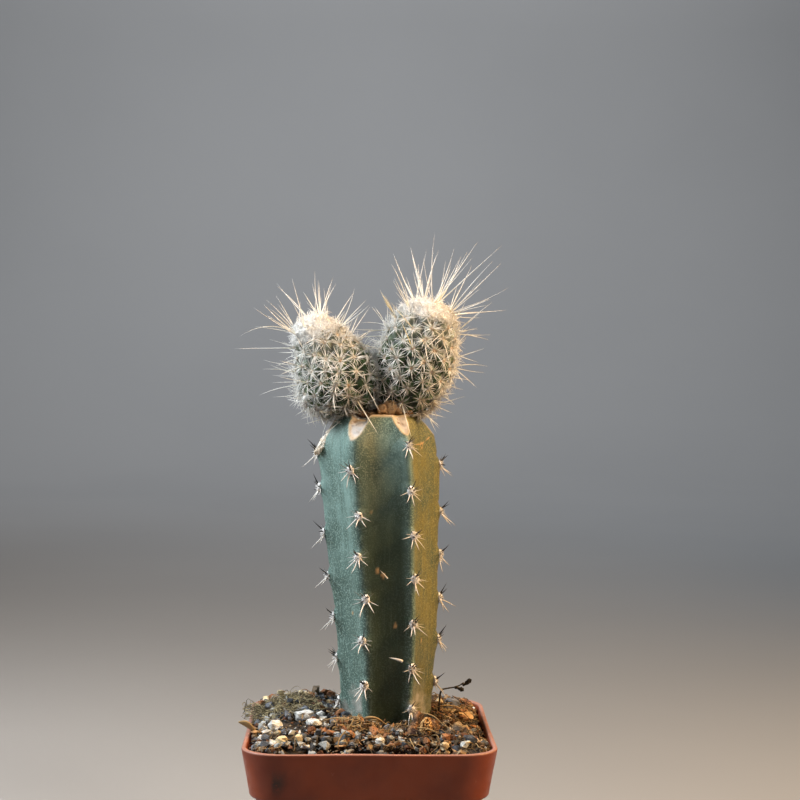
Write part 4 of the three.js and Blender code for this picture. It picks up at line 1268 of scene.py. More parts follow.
    def crust(self) -> Skin:
        """The papery crust along the lower half of one rib's bevelled end.

        Returns:
            One skin of overlapping lumps.
        """
        out, low, high = self.bevel(self.crust_rib)
        along = unit(high - low)
        side = np.cross(UP, out)
        normal = np.cross(side, along)
        skins = []
        for share, aside, radius, tone in self.crust_lumps:
            centre = low + (high - low) * share + side * aside - normal * 0.12 * aside
            lump = ball(centre, radius * np.array([1, 1.3, 0.75]), 24, 16, np.array([side, along, normal]))
            skins.append(lump.roughened(0.45, 0.9, 4).with_values(tone=tone, soil=0.0))
        return joined(skins)

    def aside(self, angle: Array, height: Array, middle: float) -> Array:
        """How far round the column each place lies from an angle."""
        return ((angle - middle + math.pi) % FULL_TURN - math.pi) * smooth_at(self.crest, height)

    def blots(self, angle: Array, height: Array, spots: Rows, full: float, none: float) -> Array:
        """Makes a mask of round spots with uneven edges.

        Args:
            angle: angles round the column.
            height: heights at those angles.
            spots: rows of [angle, height, half width].
            full: the mask is 1 nearer than this, less the share that the edge wanders.
            none: the mask is 0 past this.

        Returns:
            The mask.
        """
        mask = np.zeros(angle.shape)
        wobble = 0.35 * rough(self.place(angle, height).reshape(-1, 3), 2.4, 2).reshape(angle.shape)
        for degrees, middle, width in spots:
            distance = np.hypot(self.aside(angle, height, math.radians(degrees)), height - middle) / width
            mask = np.maximum(mask, fade(distance + wobble, full, none))
        return mask

    def painted_warm_light_and_ripeness(self, turn: Array, heights: Array) -> Array:
        """Works out how yellow the skin is: most towards +X, and on the front rib's right flank; partly its
        own yellowing, partly painted warm light.

        Args:
            turn: angles round the column.
            heights: heights of the rings.

        Returns:
            A value for each ring and angle.
        """
        flank = np.exp(-((self.from_front(turn) + 9) / 13) ** 2)
        level = 0.10 + 0.56 * fade(heights, 40, 84)
        return np.clip(self.ripe_and_warm_lit_side(turn) + flank[None, :] * level[:, None], 0, 1)

    def painted_shade(self, turn: Array, heights: Array) -> Array:
        """Works out the painted shade: most on the front faces between the front ribs, and a lesser
        darkening towards the yellow side's foot.

        Args:
            turn: angles round the column.
            heights: heights of the rings.

        Returns:
            A value for each ring and angle.
        """
        front = fade(np.abs(self.from_front(turn) - 2), 30, 16)
        return (front[None, :] * fade(heights, 84, 50)[:, None]
                + 0.3 * self.ripe_and_warm_lit_side(turn)[None, :] * fade(heights, 45, 5)[:, None])

    @staticmethod
    def from_front(turn: Array) -> Array:
        """Angles in degrees from the front, from -180 to 180."""
        return (np.degrees(turn) + 180) % 360 - 180

    @staticmethod
    def ripe_and_warm_lit_side(turn: Array) -> Array:
        """How far round each angle is to the yellow side of the column, also painted as lit by the warm
        lamp.
        """
        return fade(np.sin(turn), 0.46, 0.62)

    def frame_at(self, angle: float, height: float) -> tuple[Array, Array, Array]:
        """The middle of an areole, the way out from it and the way sideways."""
        out = outward(np.array(angle))
        return self.place(np.array(angle), np.array(float(height)), 0.55), out, np.cross(UP, out)

    def felt(self, rng: Draws) -> Skin:
        """Makes a cushion of short felt on every areole.

        Args:
            rng: the source of small differences.

        Returns:
            One skin with the values "along" and "tone".
        """
        skins = []
        for angle, height in self.pads():
            middle, out, side = self.frame_at(angle, height)
            axes = np.array([side, UP, out])
            radii = self.pad_radius * np.array([1.0, 1.15, 0.6]) * rng.uniform(0.85, 1.12)
            pad = ball(middle, radii, 16, 10, axes).roughened(0.32, 0.6, 2)
            skins.append(pad.with_values(along=0.5, tone=0.06))
            ways = unit(rng.normal(size=(self.pad_hairs, 3)) * [1, 1, 0.6] + [0, 0, 0.7]) @ axes
            roots = middle + ways * self.pad_radius * 0.72
            leaning = unit(ways + 0.5 * rng.normal(size=ways.shape))
            tips = roots + leaning * rng.uniform(0.35, 0.8, (len(ways), 1))
            hairs = Strands(roots, tips, 0.1 * rng.normal(size=ways.shape), np.full(len(ways), 0.14),
                            rng.uniform(0, 0.25, len(ways)))
            skins.append(hairs.skin(3, 2))
        return joined(skins)

    def spine_skin(self, rng: Draws) -> Skin:
        """Makes a star of spines on every areole, pale below and nearly black above.

        Args:
            rng: the source of small differences.

        Returns:
            One skin with the values "along" and "tone".
        """
        sets = []
        for angle, height in self.pads():
            middle, out, side = self.frame_at(angle, height)
            rows = np.array(self.spines)
            rows = rows[rng.random(len(rows)) > np.where(rows[:, 4] < 0.1, 0.0, 0.12)]
            turn = np.radians(rows[:, 0] + rng.normal(0, 9, len(rows)))
            lean = np.radians(rows[:, 1] + rng.normal(0, 8, len(rows)))
            length = rows[:, 2] * rng.uniform(0.75, 1.2, len(rows))
            flat = turned(turn, side, UP)
            ways = turned(lean, out, flat)
            roots = middle + 0.35 * flat - 0.1 * out
            sets.append(Strands(roots, roots + ways * length[:, None], 0.12 * rng.normal(size=ways.shape),
                                rows[:, 3] * rng.uniform(0.9, 1.1, len(rows)), rows[:, 4]))
        return Strands.of([*sets, Strands.placed(self.shed_spines, 0.0, 0.1)]).skin(6, 6, 1.3)


# The heads

@dataclass(frozen=True)
class Head:
    """A head grafted on the column: green flesh, areoles, wool, radial spines and long spines."""

    name: str
    side: int
    axis: Rows
    girth: Rows
    seed: int
    # [x, height] at the tips of the long spines that fan out of the head
    fan: Rows
    # [x, height] of an areole and of its spine's tip, then how far the tip is bent up, along the outline
    outline: Rows
    # the same for spines that stand out of the front
    front: Rows
    # the same for a sheaf of yellow spines
    sheaf: Rows = ()
    areoles: int = 118
    dome_start: float = 0.78
    dome_share: float = 0.72
    parting: float = 1.5
    gap: float = 0.15
    inset: float = 0.8
    dimple: float = 1.3
    # distances from an areole at which the furrow starts and is deepest
    furrow: tuple[float, float] = (0.5, 2.6)
    fan_depth: float = 22.0
    radials: int = 22
    radial_length: float = 3.1
    wool_share: float = 0.14
    wool_hairs: int = 3000
    tuft_hairs: int = 7
    hair_thickness: float = 0.14
    # how far the wool's felt stands above the flesh, and how rough it is
    felt_rise: float = 0.9
    felt_grain: float = 0.26
    # spines that hang in front from each old areole at the base, and that cross between the heads
    hanging: int = 18
    crossing: int = 4
    # height below which the base lies, and how near the parting spines cross it
    base_top: float = 92.5
    cleft_half: float = 4.5
    # thickness of the long spines in the fan, of their twins and of those strewn about
    fan_thickness: float = 0.28
    twin_thickness: float = 0.23
    strewn_thickness: float = 0.26

    def lengths(self) -> Array:
        """Distances along the axis to its points."""
        return np.append(0, np.cumsum(np.linalg.norm(np.diff(np.array(self.axis), axis=0), axis=1)))

    def axis_at(self, share: Array) -> Array:
        """Points on the axis at shares of its length."""
        line = smooth_line(self.lengths() / self.lengths()[-1], np.array(self.axis), share)
        return np.stack([line[..., 0], np.zeros_like(share), line[..., 1]], axis=-1)

    def radius_at(self, share: Array) -> Array:
        """The head's radius at shares of its axis, rounded off at the tip."""
        dome = np.maximum(0, (share - self.dome_start) / (1 - self.dome_start))
        return smooth_at(self.girth, share) * np.sqrt(np.maximum(0, 1 - dome**2))

    def axis_share(self, skin_share: Array) -> Array:
        """Finds how far along the axis a share of the skin reaches.

        Args:
            skin_share: shares of the skin's area, counted from the tip.

        Returns:
            The shares of the axis above which that skin lies.
        """
        shares = np.linspace(1, 0, 97)
        radii = self.radius_at(shares)
        area = (radii[1:] + radii[:-1]) * np.hypot(self.lengths()[-1] / 96, np.diff(radii))
        covered = np.append(0, np.cumsum(area))
        return np.interp(skin_share, covered / covered[-1], shares)

    def skin_at(self, skin_share: Array, angle: Array) -> tuple[Array, Array, Array]:
        """Finds places on the head's skin.

        Args:
            skin_share: shares of the skin's area, counted from the tip.
            angle: angles round the axis.

        Returns:
            The places, the directions out of the skin and those along the axis.
        """
        share = self.axis_share(skin_share)
        step = 0.01
        low, high = np.maximum(0, share - step), np.minimum(1, share + step)
        along = unit(self.axis_at(high) - self.axis_at(low))
        radial = turned(angle, unit(np.cross(ALONG_Y, along)), ALONG_Y)
        slope = (self.radius_at(low) - self.radius_at(high)) / ((high - low) * self.lengths()[-1])
        normal = unit(radial + along * slope[..., None])
        place = self.axis_at(share) + radial * self.radius_at(share)[..., None] - self.inset * normal
        return place, normal, along

    def areole_frames(self) -> tuple[Array, Array, Array]:
        """The areoles' places, outward directions and axis directions, in spirals from the tip down.

        Returns:
            The three, one row for each areole.
        """
        index = np.arange(self.areoles)
        rng = np.random.default_rng(self.seed + 40)
        along = index + 0.5 + np.minimum(index, 2.2) * rng.uniform(-1, 1, self.areoles)
        angle = index * GOLDEN_ANGLE + rng.normal(0, 0.05, self.areoles)
        return self.skin_at(np.clip(along / self.areoles, 0, 1), angle)

    def on_own_side(self, points: Array, slack: float = 0.0) -> Array:
        """Whether points lie on this head's side of the plane where the heads meet."""
        return self.side * (points[..., 0] - self.parting) > self.gap - slack

    def build(self, column: Column) -> None:
        """Makes the flesh, the felt and wool, the radial spines and the long spines.

        Args:
            column: the column that the head stands on.
        """
        rng = np.random.default_rng(self.seed)
        make_piece(f"{self.name}_flesh", self.flesh(column), FleshFinish(), (self.name,))
        make_piece(f"{self.name}_wool", self.wool(column, rng), WOOL)
        radials = self.radial_strands(column, rng).skin(3, 4)
        make_piece(f"{self.name}_radials", radials, RADIAL_SPINES)
        spines = self.long_strands(column, rng).skin(6, 9, 2.4)
        make_piece(f"{self.name}_long_spines", spines, LONG_SPINES)

    def flesh(self, column: Column) -> Skin:
        """Makes the flesh: a blunt nipple under each areole, with furrows between.

        Args:
            column: the column, which the flesh doesn't enter.

        Returns:
            The closed skin with the values "gap" and "wool".
        """
        levels, sides = 116, 160
        shares = np.linspace(0.006, 1, levels) ** 1.5
        angle, share = np.meshgrid(turns(sides), shares)
        place, normal, _ = self.skin_at(share, angle)
        areoles = self.areole_frames()[0]
        distance = np.linalg.norm(place[:, :, None] - areoles, axis=-1).min(axis=-1)
        # how far into a furrow each place is; the finish paints shade there
        gap = fade(distance, *self.furrow)
        place = place - normal * (self.dimple * gap)[..., None]
        place = place + normal * 0.12 * rough(place.reshape(-1, 3), 1.2, 2).reshape(levels, sides, 1)
        wool = fade(share + 0.03 * rough(place.reshape(-1, 3), 2.0).reshape(share.shape),
                    self.wool_share * 1.15, self.wool_share * 0.6)
        felt = self.felt_rise + self.felt_grain * rough(place.reshape(-1, 3), 0.7, 3).reshape(share.shape)
        place = place + normal * (wool * felt)[..., None]
        edge = self.parting + self.side * self.gap
        place[..., 0] = (np.minimum if self.side < 0 else np.maximum)(place[..., 0], edge)
        body = loft(column.lifted_clear(place.reshape(-1, 3), 0.25).reshape(place.shape)[::-1])
        down = np.maximum(wool, 0.35 * fade(share, 0.5, 0.12) * (1 - 0.6 * gap))
        down *= fade(np.abs(place[..., 0] - self.parting), 0.3, 2.5)
        return body.with_values(gap=np.append(gap[::-1].ravel(), [1, 0]),
                                wool=np.append(down[::-1].ravel(), [0, 1]))

    def clear(self, strands: Strands, column: Column, slack: float) -> Strands:
        """Leaves out the strands that enter the column or reach far past the heads' parting.

        Args:
            strands: the strands to choose from.
            column: the column.
            slack: how far past the parting a strand may reach.

        Returns:
            The strands that stay.
        """
        lines = strands.middle_lines(np.array([0.4, 0.7, 1.0]))
        within = self.on_own_side(lines, slack).all(axis=1)
        return strands.kept(~column.holds(lines, 0.15).any(axis=1) & within)

    def wool(self, column: Column, rng: Draws) -> Skin:
        """Makes felt on every areole and a cap of wool over the growing tip.

        Args:
            column: the column, which no areole lies in.
            rng: the source of small differences.

        Returns:
            One skin with the values "along" and "tone".
        """
        places, normals, _ = self.areole_frames()
        keep = ~column.holds(places, 0.3) & (np.arange(self.areoles) > self.wool_share * self.areoles)
        skins = []
        for place, normal in zip(places[keep], normals[keep]):
            bead = ball(place + 0.05 * normal, (0.5, 0.5, 0.35), 8, 5, np.array([*across(normal), normal]))
            skins.append(bead.with_values(along=0.2, tone=rng.uniform(0.2, 0.9)))
        roots, ways = (np.repeat(rows[keep], self.tuft_hairs, axis=0) for rows in (places, normals))
        tuft = self.hairs(roots, ways, 0.8, rng)
        share = self.wool_share * rng.random(self.wool_hairs) ** 0.9
        cap_places, cap_normals, _ = self.skin_at(share, rng.uniform(0, FULL_TURN, self.wool_hairs))
        cap = self.hairs(cap_places + 0.75 * cap_normals, cap_normals * 0.45, 1.1, rng)
        cap.tone = rng.uniform(0, 0.05, self.wool_hairs)
        return joined([*skins, Strands.of([tuft, cap]).skin(3, 2)])

    def hairs(self, places: Array, normals: Array, longest: float, rng: Draws) -> Strands:
        """Makes one fine hair at each place.

        Args:
            places: where the hairs stand.
            normals: the ways they lean to.
            longest: the length of the longest; the shortest are 0.4.
            rng: the source of small differences.

        Returns:
            The hairs.
        """
        ways = unit(normals + 0.75 * rng.normal(size=normals.shape))
        roots = places + 0.25 * rng.normal(size=normals.shape)
        tips = roots + ways * rng.uniform(0.4, longest, (len(places), 1))
        return Strands(roots, tips, 0.15 * rng.normal(size=normals.shape),
                       np.full(len(places), self.hair_thickness), rng.uniform(0.1, 0.6, len(places)))

    def radial_strands(self, column: Column, rng: Draws) -> Strands:
        """Makes rings of white radial spines that lie over the flesh, and small central ones.

        Args:
            column: the column, which the spines don't enter.
            rng: the source of small differences.

        Returns:
            The spines.
        """
        places, normals, along = self.areole_frames()
        share = (np.arange(self.areoles) + 0.5) / self.areoles
        sets = []
        for place, normal, axis, low in zip(places, normals, along, share):
            side = unit(np.cross(normal, axis))
            pose = place, normal, side, np.cross(normal, side)
            young = float(fade(low, 0.20, 0.03))
            # darker, drier spines on the lower areoles; at the heads' shaded base this dark is partly
            # painted shade
            old = float(fade(low, 0.60, 0.86))
            inner = self.side * normal[0] < -0.55 and abs(normal[1]) < 0.75 and low > 0.3
            count = (self.radials + rng.integers(-3, 4)) // (2 if inner else 1)
            turn = (np.arange(count) + rng.uniform(0, 1) + rng.normal(0, 0.5, count)) / count * 2 * math.pi
            lean = np.radians(rng.normal(80 - 22 * young, 10, count))
            size = self.radial_length * rng.uniform(0.85, 1.2) * (1 - 0.3 * young)
            length = size * rng.uniform(0.55, 1.3, count)
            sets.append(self.star(pose, turn, lean, length, 0.24, 0.3, 0.02 + 0.75 * old, rng))
            few = rng.integers(5, 10)
            turn, lean = rng.uniform(0, 6.3, few), np.radians(rng.uniform(40, 84, few))
            length = rng.uniform(2.6, 5.4, few) * (1 - 0.3 * young)
            sets.append(self.star(pose, turn, lean, length, 0.25, 0.5, 0.02 + 0.5 * old, rng))
            cleft = abs(place[0] - self.parting) < self.cleft_half and normal[1] < 0.2
            base = place[2] < self.base_top and normal[1] < -0.4
            for wanted, way, tone, hung in (
                    (base, normal * [1.3, 1.3, 0] - 1.5 * UP, 0.75, self.hanging),
                    (cleft, 0.8 * normal - ALONG_Y + 0.4 * UP, 0.02, self.crossing)):
                if wanted:
                    lead = unit(way)
                    aside = unit(np.cross(lead, axis))
                    turn, lean = rng.uniform(0, 6.3, hung), np.radians(rng.uniform(0, 62, hung))
                    length = rng.uniform(1.8, 4.2, hung)
                    sets.append(self.star((place, lead, aside, np.cross(lead, aside)), turn, lean, length,
                                          0.2, 0.3, tone, rng))
        spines = Strands.of(sets)
        spines.tips = column.lifted_clear(spines.tips, 0.3)
        return self.clear(spines, column, 2.6)

    @staticmethod
    def star(pose: tuple[Array, ...], turn: Array, lean: Array, length: Array, thickness: float,
             curl: float, tone: float, rng: Draws) -> Strands:
        """Makes spines from one areole.

        Args:
            pose: the areole's middle, the way out of the skin, and two ways along the skin.
            turn: each spine's angle round the areole.
            lean: each spine's angle from straight out.
            length: each spine's length.
            thickness: their thickness at the root.
            curl: how far their middles bow out.
            tone: how dark and dry they are, from 0 to 1.
            rng: the source of small differences.

        Returns:
            One strand for each spine.
        """
        place, normal, side, over = pose
        flat = turned(turn, side, over)
        ways = turned(lean, normal, flat)
        roots = place + 0.1 * normal + 0.3 * flat
        arches = curl * normal * rng.uniform(0.4, 1.2, (len(turn), 1)) + 0.22 * rng.normal(size=ways.shape)
        return Strands(roots, roots + ways * length[:, None], arches,
                       np.full(len(turn), thickness) * rng.uniform(0.8, 1.2, len(turn)),
                       np.clip(rng.normal(tone, 0.16, len(turn)), 0, 0.85))

    def long_strands(self, column: Column, rng: Draws) -> Strands:
        """Makes the long spines: the fan over the tip, those along the outline, in front and behind.

        Args:
            column: the column, which the spines don't enter.
            rng: the source of what isn't placed.

        Returns:
            The spines.
        """
        places, normals, _ = self.areole_frames()
        middle = self.axis_at(np.array(self.dome_share))
        tips = np.array([(x, self.fan_depth * ((i * 0.618) % 1 - 0.5), z)
                         for i, (x, z) in enumerate(self.fan)])
        likeness = unit(tips - middle) @ unit(places - middle).T
        roots = places[np.argmax(likeness + 0.035 * rng.normal(size=likeness.shape), axis=1)]
        sets = [self.bundle(roots, tips, self.fan_thickness, 0.0, rng)]
        twins = rng.random(len(tips)) < 0.75
        reach = rng.uniform(0.5, 0.92, (len(tips), 1))
        near = roots + (tips - roots) * reach + rng.normal(0, 1.6, tips.shape)
        sets.append(self.bundle(roots[twins], near[twins], self.twin_thickness, 0.0, rng))
        for rows, depth, thickness, tone in ((self.outline, 0.0, 0.28, 0.0), (self.front, -1.0, 0.30, 0.02),
                                             (self.sheaf, -0.35, 0.26, 0.7)):
            if rows:
                sets.append(self.measured(np.array(rows), depth, thickness, tone, rng))
        for place, normal in zip(places, normals):
            far = normal[1] > 0.35
            count = rng.integers(0, 3) if far else rng.integers(0, 2)
            reach = (6, 13) if far else (4.5, 8.5)
            ways = unit(normal + (0.45 if far else 0.7) * rng.normal(size=(count, 3)) + 0.25 * UP)
            ends = place + ways * rng.uniform(*reach, (count, 1))
            roots = np.repeat(place[None], count, axis=0)
            sets.append(self.bundle(roots, ends, self.strewn_thickness, 0.02, rng))
        return self.clear(Strands.of(sets), column, 9.0)

    def measured(self, rows: Array, depth: float, thickness: float, tone: float, rng: Draws) -> Strands:
        """Makes long spines between measured places.

        Args:
            rows: [x, height] of the areole and of the tip, then the bend at the middle.
            depth: where the areole is looked for: 0 on the outline, -1 right in front.
            thickness: thickness at the root.
            tone: how yellow the spines are.
            rng: the source of small differences.

        Returns:
            One strand for each row, from the areole nearest to its measured root.
        """
        places, normals, _ = self.areole_frames()
        astray = 5.0 * np.abs(normals[:, 1] - depth * 0.75)
        roots = np.array([places[np.argmin(np.hypot(places[:, 0] - x, places[:, 2] - z) + astray)]
                          for x, z in rows[:, :2]])
        run = np.linalg.norm(rows[:, 2:4] - rows[:, :2], axis=1)
        tip_y = roots[:, 1] * (1 + 0.3 * abs(depth)) + depth * (0.35 * run + 0.6)
        tips = np.column_stack([rows[:, 2], tip_y, rows[:, 3]])
        return self.bundle(roots, tips, thickness, tone, rng, rows[:, 4])

    @staticmethod
    def bundle(roots: Array, tips: Array, thickness: float, tone: float, rng: Draws,
               bends: Array | float = 0.0) -> Strands:
        """Makes long spines with slight bends of their own.

        Args:
            roots: where they start.
            tips: where they end.
            thickness: their mean thickness at the root.
            tone: how yellow they are on the whole.
            rng: the source of small differences.
            bends: how far their middles are bent up beside that.

        Returns:
            One strand for each root.
        """
        length = np.linalg.norm(tips - roots, axis=1, keepdims=True)
        arches = UP * np.reshape(bends, (-1, 1)) + 0.018 * length * rng.normal(size=tips.shape)
        return Strands(roots, tips, arches, thickness * rng.uniform(0.85, 1.15, len(tips)),
                       np.clip(tone + rng.normal(0, 0.15, len(tips)), 0, 1))


LEFT_HEAD = Head(
    name="head_left", side=-1, seed=11,
    axis=((-5.4, 85.6), (-6.9, 90.6), (-9.7, 97.5), (-12.9, 104), (-15.5, 110), (-16.1, 114.8)),
    girth=((0, 4.6), (0.08, 7.9), (0.2, 10.9), (0.38, 12.2), (0.6, 10.1), (0.78, 7.5), (1, 6.0)),
    fan=((-29.7, 117.4), (-29.6, 118.8), (-29.1, 114.4), (-26.9, 123.5), (-26.3, 117.7), (-22, 124.4),
         (-16.8, 123.6), (-15.9, 126.7), (-10.8, 125.6), (-10, 123.4), (-4.9, 122.2), (-4.9, 121.3),
         (-1.7, 118.8), (-0.9, 117.4), (-19.2, 121.0), (-13.4, 122.2)),
    outline=((-22.4, 109.6, -32.5, 111.2, 0.2), (-22.8, 109.6, -36.8, 108.3, 2.4),
             (-22.1, 103.9, -38.3, 105.0, 0.3), (-22.4, 101.1, -30.3, 102.0, 0.1),
             (-22.7, 98.5, -30.3, 99.4, 0.1), (-22.3, 95.1, -31.3, 92.1, 0.5),
             (-18.3, 91.1, -22.9, 89, 0.3), (-16.7, 88.9, -21.2, 86.6, 0.3),
             (-13.9, 88.3, -19.8, 85.5, 0.2), (-12.7, 86.2, -18.4, 84.3, 0.2),
             (-10.2, 85.3, -12.7, 84, 0.1), (-21.4, 91.8, -24.2, 91.8, 0),
             (-21.9, 93.2, -21.9, 90.9, 0), (-21.8, 107, -28.5, 107.7, 0.2)),
    front=((-3.7, 90.2, 1.8, 82.3, 0), (-8.4, 87.1, -11.5, 82.9, 0), (-8.1, 89.3, -6.6, 87.1, 0),
           (-17.5, 103.7, -20.5, 108.2, 0), (-12.7, 102.2, -10.2, 98, 0), (-2.6, 93.2, 2.3, 88.1, 0.4),
           (-14.8, 109.4, -19, 106.1, 0), (-23.5, 100.3, -25.3, 98, 0), (-21.1, 108.2, -13.9, 106.1, 0.3),
           (0.4, 97.5, -4.8, 98, 0), (-12.6, 90.4, -8, 89.6, 0)))

RIGHT_HEAD = Head(
    name="head_right", side=1, seed=12,
    axis=((7.8, 85.6), (9.8, 94), (12.2, 102), (14.7, 111), (16.7, 119.1)),
    girth=((0, 4.5), (0.08, 6.8), (0.2, 9.2), (0.44, 11.2), (0.67, 10.5), (0.78, 9.4), (1, 7.8)),
    fan=((4.8, 128.6), (5.7, 132), (5.8, 125.1), (10.6, 134.3), (15, 133), (16.7, 137.2), (18.7, 133.2),
         (22.4, 133.3), (25.1, 131.7), (29.5, 135.7), (26, 132.5), (28.3, 129.4), (35.7, 134.2),
         (32.7, 129.7), (36.2, 129.7), (37.4, 122.5), (38.3, 116.5), (33.4, 118.6), (32.4, 119.4),
         (31, 116), (20.1, 130), (12.6, 129)),
    outline=((19.1, 90.8, 23.4, 89.8, 0.1), (15.2, 88.1, 18.2, 84.5, 0), (23.3, 100, 25.7, 95.9, 0),
             (24.9, 102.6, 29.5, 94.6, 0.2), (22.6, 104.3, 30, 101.7, 0), (24, 100.7, 32.5, 100.7, 0.2),
             (24, 100.3, 31.9, 98.9, 0.1), (20.4, 92.8, 23.4, 93.1, 0), (21.9, 96.5, 27, 96.9, 0),
             (6.6, 112.1, -3.2, 112.5, 0.2), (6.6, 110.4, -4.7, 108.6, 0.3), (6.6, 110.7, -5, 110.7, 0.1),
             (5.1, 111.3, -0.3, 117.1, 0.2), (4.8, 111, 0.5, 117.1, 0.1), (8.4, 110, 4.2, 117.2, 0),
             (25, 108.5, 33.3, 109.5, 0.1), (25, 109.5, 32.9, 108, 0), (25.5, 110, 29.6, 111.4, 0)),
    front=((8.2, 90.8, 10.8, 81.3, 0), (11.3, 89.1, 12.5, 80.9, 0), (14.9, 88, 18.6, 83.6, 0),
           (18.2, 91.7, 22.8, 90.2, 0), (6.3, 91.6, 7.4, 89.4, 0), (22.8, 112.9, 13.2, 104.7, 0.3),
           (25.6, 109.1, 20.5, 106.7, 0), (18.2, 107.9, 20.9, 101.2, 0), (19, 96.3, 15, 94.6, 0),
           (14.4, 107.6, 15.3, 101.2, 0), (0.5, 97.6, 7.9, 101.5, 0), (1.4, 97.2, 4, 93.1, 0),
           (5.9, 94.1, 2.9, 90.7, 0), (11.4, 93.5, 14.5, 94.8, 0)),
    sheaf=((9.3, 112.7, 2, 121.7, 0), (9.6, 112, 4.2, 115.8, 0), (8.9, 113, 3.3, 120.1, 0),
           (12.2, 106.2, 7.6, 113.3, 0), (9.3, 112.7, 2.6, 120.6, 0.2), (9.3, 112.7, 2.9, 119.2, -0.2),
           (10.2, 110.6, 4.6, 118.4, 0), (9, 112, 3.6, 117.6, 0.3)))


@dataclass(frozen=True)
class Callus:
    """The corky tissue where the heads have joined the column."""

    # [x, y, height, radius, half thickness, tone]
    lumps: Rows = ((2.2, -0.2, 87.3, 8.6, 1.3, 0.2), (5.2, -6.6, 89.3, 2.3, 2.0, 0.8),
                   (3.2, -7.4, 88.9, 1.7, 1.5, 0.65), (7.2, -6.2, 88.7, 1.9, 1.5, 0.6),
                   (1.4, 6.4, 89.1, 2.2, 1.7, 0.4), (-2.5, -6.2, 87.4, 1.8, 0.8, 0.3),
                   (9.5, -4.5, 87.8, 2.0, 0.8, 0.5))

    def build(self) -> None:
        """Makes the callus as overlapping lumps of rough cork."""
        lumps = [ball((x, y, z), (radius, radius, half), 40, 22).roughened(0.55, 1.6, 4)
                 .with_values(tone=tone) for x, y, z, radius, half, tone in self.lumps]
        make_piece("callus_cork", joined(lumps), CORK, ("graft_callus",))


# The bed and what lies on it

def taken_apart(shape: bmesh.types.BMesh) -> tuple[Array, Array]:
    """Frees a mesh that was being edited.

    Args:
        shape: the mesh, all in triangles.

    Returns:
        Its points and its triangles.
    """
    shape.verts.index_update()
    points = np.array([v.co for v in shape.verts])
    triangles = np.array([[v.index for v in f.verts] for f in shape.faces])
    shape.free()
    return points, triangles


@dataclass(frozen=True)
class LoosePiece:
    """A stone or chip that lies loose on the bed, with the finish that it shows."""

    node: str
    finish: StoneFinish
    slot: str
    tone: float
    relief: float = 0.16
    # how many flat faces are broken off it, and how far from its middle, as shares of its reach
    breaks: int = 8
    broken_at: tuple[float, float] = (0.62, 0.86)
    worn_edge: float = 0.12

    def build(self) -> None:
        """Makes the piece."""
        make_piece(f"{self.node}_rock", self.shape(), self.finish, (self.node,), 32)

    def shape(self) -> Skin:
        """The shape of its solid, with its edges worn and its faces roughened.

        Returns:
            A closed skin.
        """
        shape = bmesh.new()
        shape.from_mesh(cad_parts[self.node].data)
        bmesh.ops.remove_doubles(shape, verts=shape.verts, dist=1e-6)
        rng = np.random.default_rng(len(self.node))
        for way in unit(rng.normal(size=(self.breaks, 3)) * [1, 1, 0.7]):
            corners = np.array([v.co for v in shape.verts])
            reach = (corners - corners.mean(axis=0)) @ way
            through = corners.mean(axis=0) + way * reach.max() * rng.uniform(*self.broken_at)
            bmesh.ops.bisect_plane(shape, geom=[*shape.verts, *shape.edges, *shape.faces],
                                   plane_co=Vector(through), plane_no=Vector(way), clear_outer=True)
            bmesh.ops.holes_fill(shape, edges=shape.edges)
        bmesh.ops.bevel(shape, geom=list(shape.edges), offset=self.worn_edge * MM, segments=1,
                        affect="EDGES", clamp_overlap=True)
        bmesh.ops.triangulate(shape, faces=shape.faces)
        bmesh.ops.subdivide_edges(shape, edges=list(shape.edges), cuts=3, use_grid_fill=True)
        bmesh.ops.triangulate(shape, faces=shape.faces)
        bmesh.ops.recalc_face_normals(shape, faces=shape.faces)
        points, faces = taken_apart(shape)
        skin = Skin(points / MM - UP * POT_HEIGHT, [faces])
        return skin.roughened(self.relief, 1.1, 4).with_values(tone=self.tone)


@dataclass(frozen=True)
class Knot(LoosePiece):
    """The bark knot: an upright oval with rings round its middle, and the dark bark behind it."""

    centre: Point = (15.2, -20.6, 4.0)
    radii: Point = (1.6, 1.2, 2.8)
    rings: float = 2.1
    ring_depth: float = 0.38
    bark_centre: Point = (17.1, -17.4, 2.7)
    bark_radii: Point = (2.0, 2.7, 2.4)

    def shape(self) -> Skin:
        """The oval and its bark.

        Returns:
            Both as one skin.
        """
        oval = ball(self.centre, self.radii, 44, 32)
        away = (oval.points - self.centre) / self.radii
        wander = 1.5 * rough(oval.points * [1.0, 1.0, 0.55], 1.0, 3)
        wave = np.cos(FULL_TURN * (self.rings * np.hypot(away[:, 0], away[:, 2]) + wander))
        points = oval.points - ALONG_Y * (self.ring_depth * wave * fade(-away[:, 1], 0, 0.4))[:, None]
        oval = Skin(points, oval.faces).roughened(0.28, 0.7, 4)
        bark = ball(self.bark_centre, self.bark_radii, 40, 26).roughened(0.9, 1.8, 5)
        return joined([oval.with_values(tone=self.tone + 0.42 * wave), bark.with_values(tone=-0.1)])


@dataclass(frozen=True)
class Log(LoosePiece):
    """The short dark log that leans on the bed."""

    ends: Rows = ((13.7, -14.3, 6.5), (10.7, -19.2, 0.6))
    radius: float = 1.35

    def shape(self) -> Skin:
        """A rough rod between its ends."""
        share = np.linspace(0, 1, 40)
        widths = self.radius * np.clip(np.minimum(share, 1 - share) * 12, 0.55, 1) ** 0.5
        rod = tube(run_between(*self.ends, share), widths, 36)
        return rod.roughened(0.6, 1.1, 5).with_values(tone=self.tone)


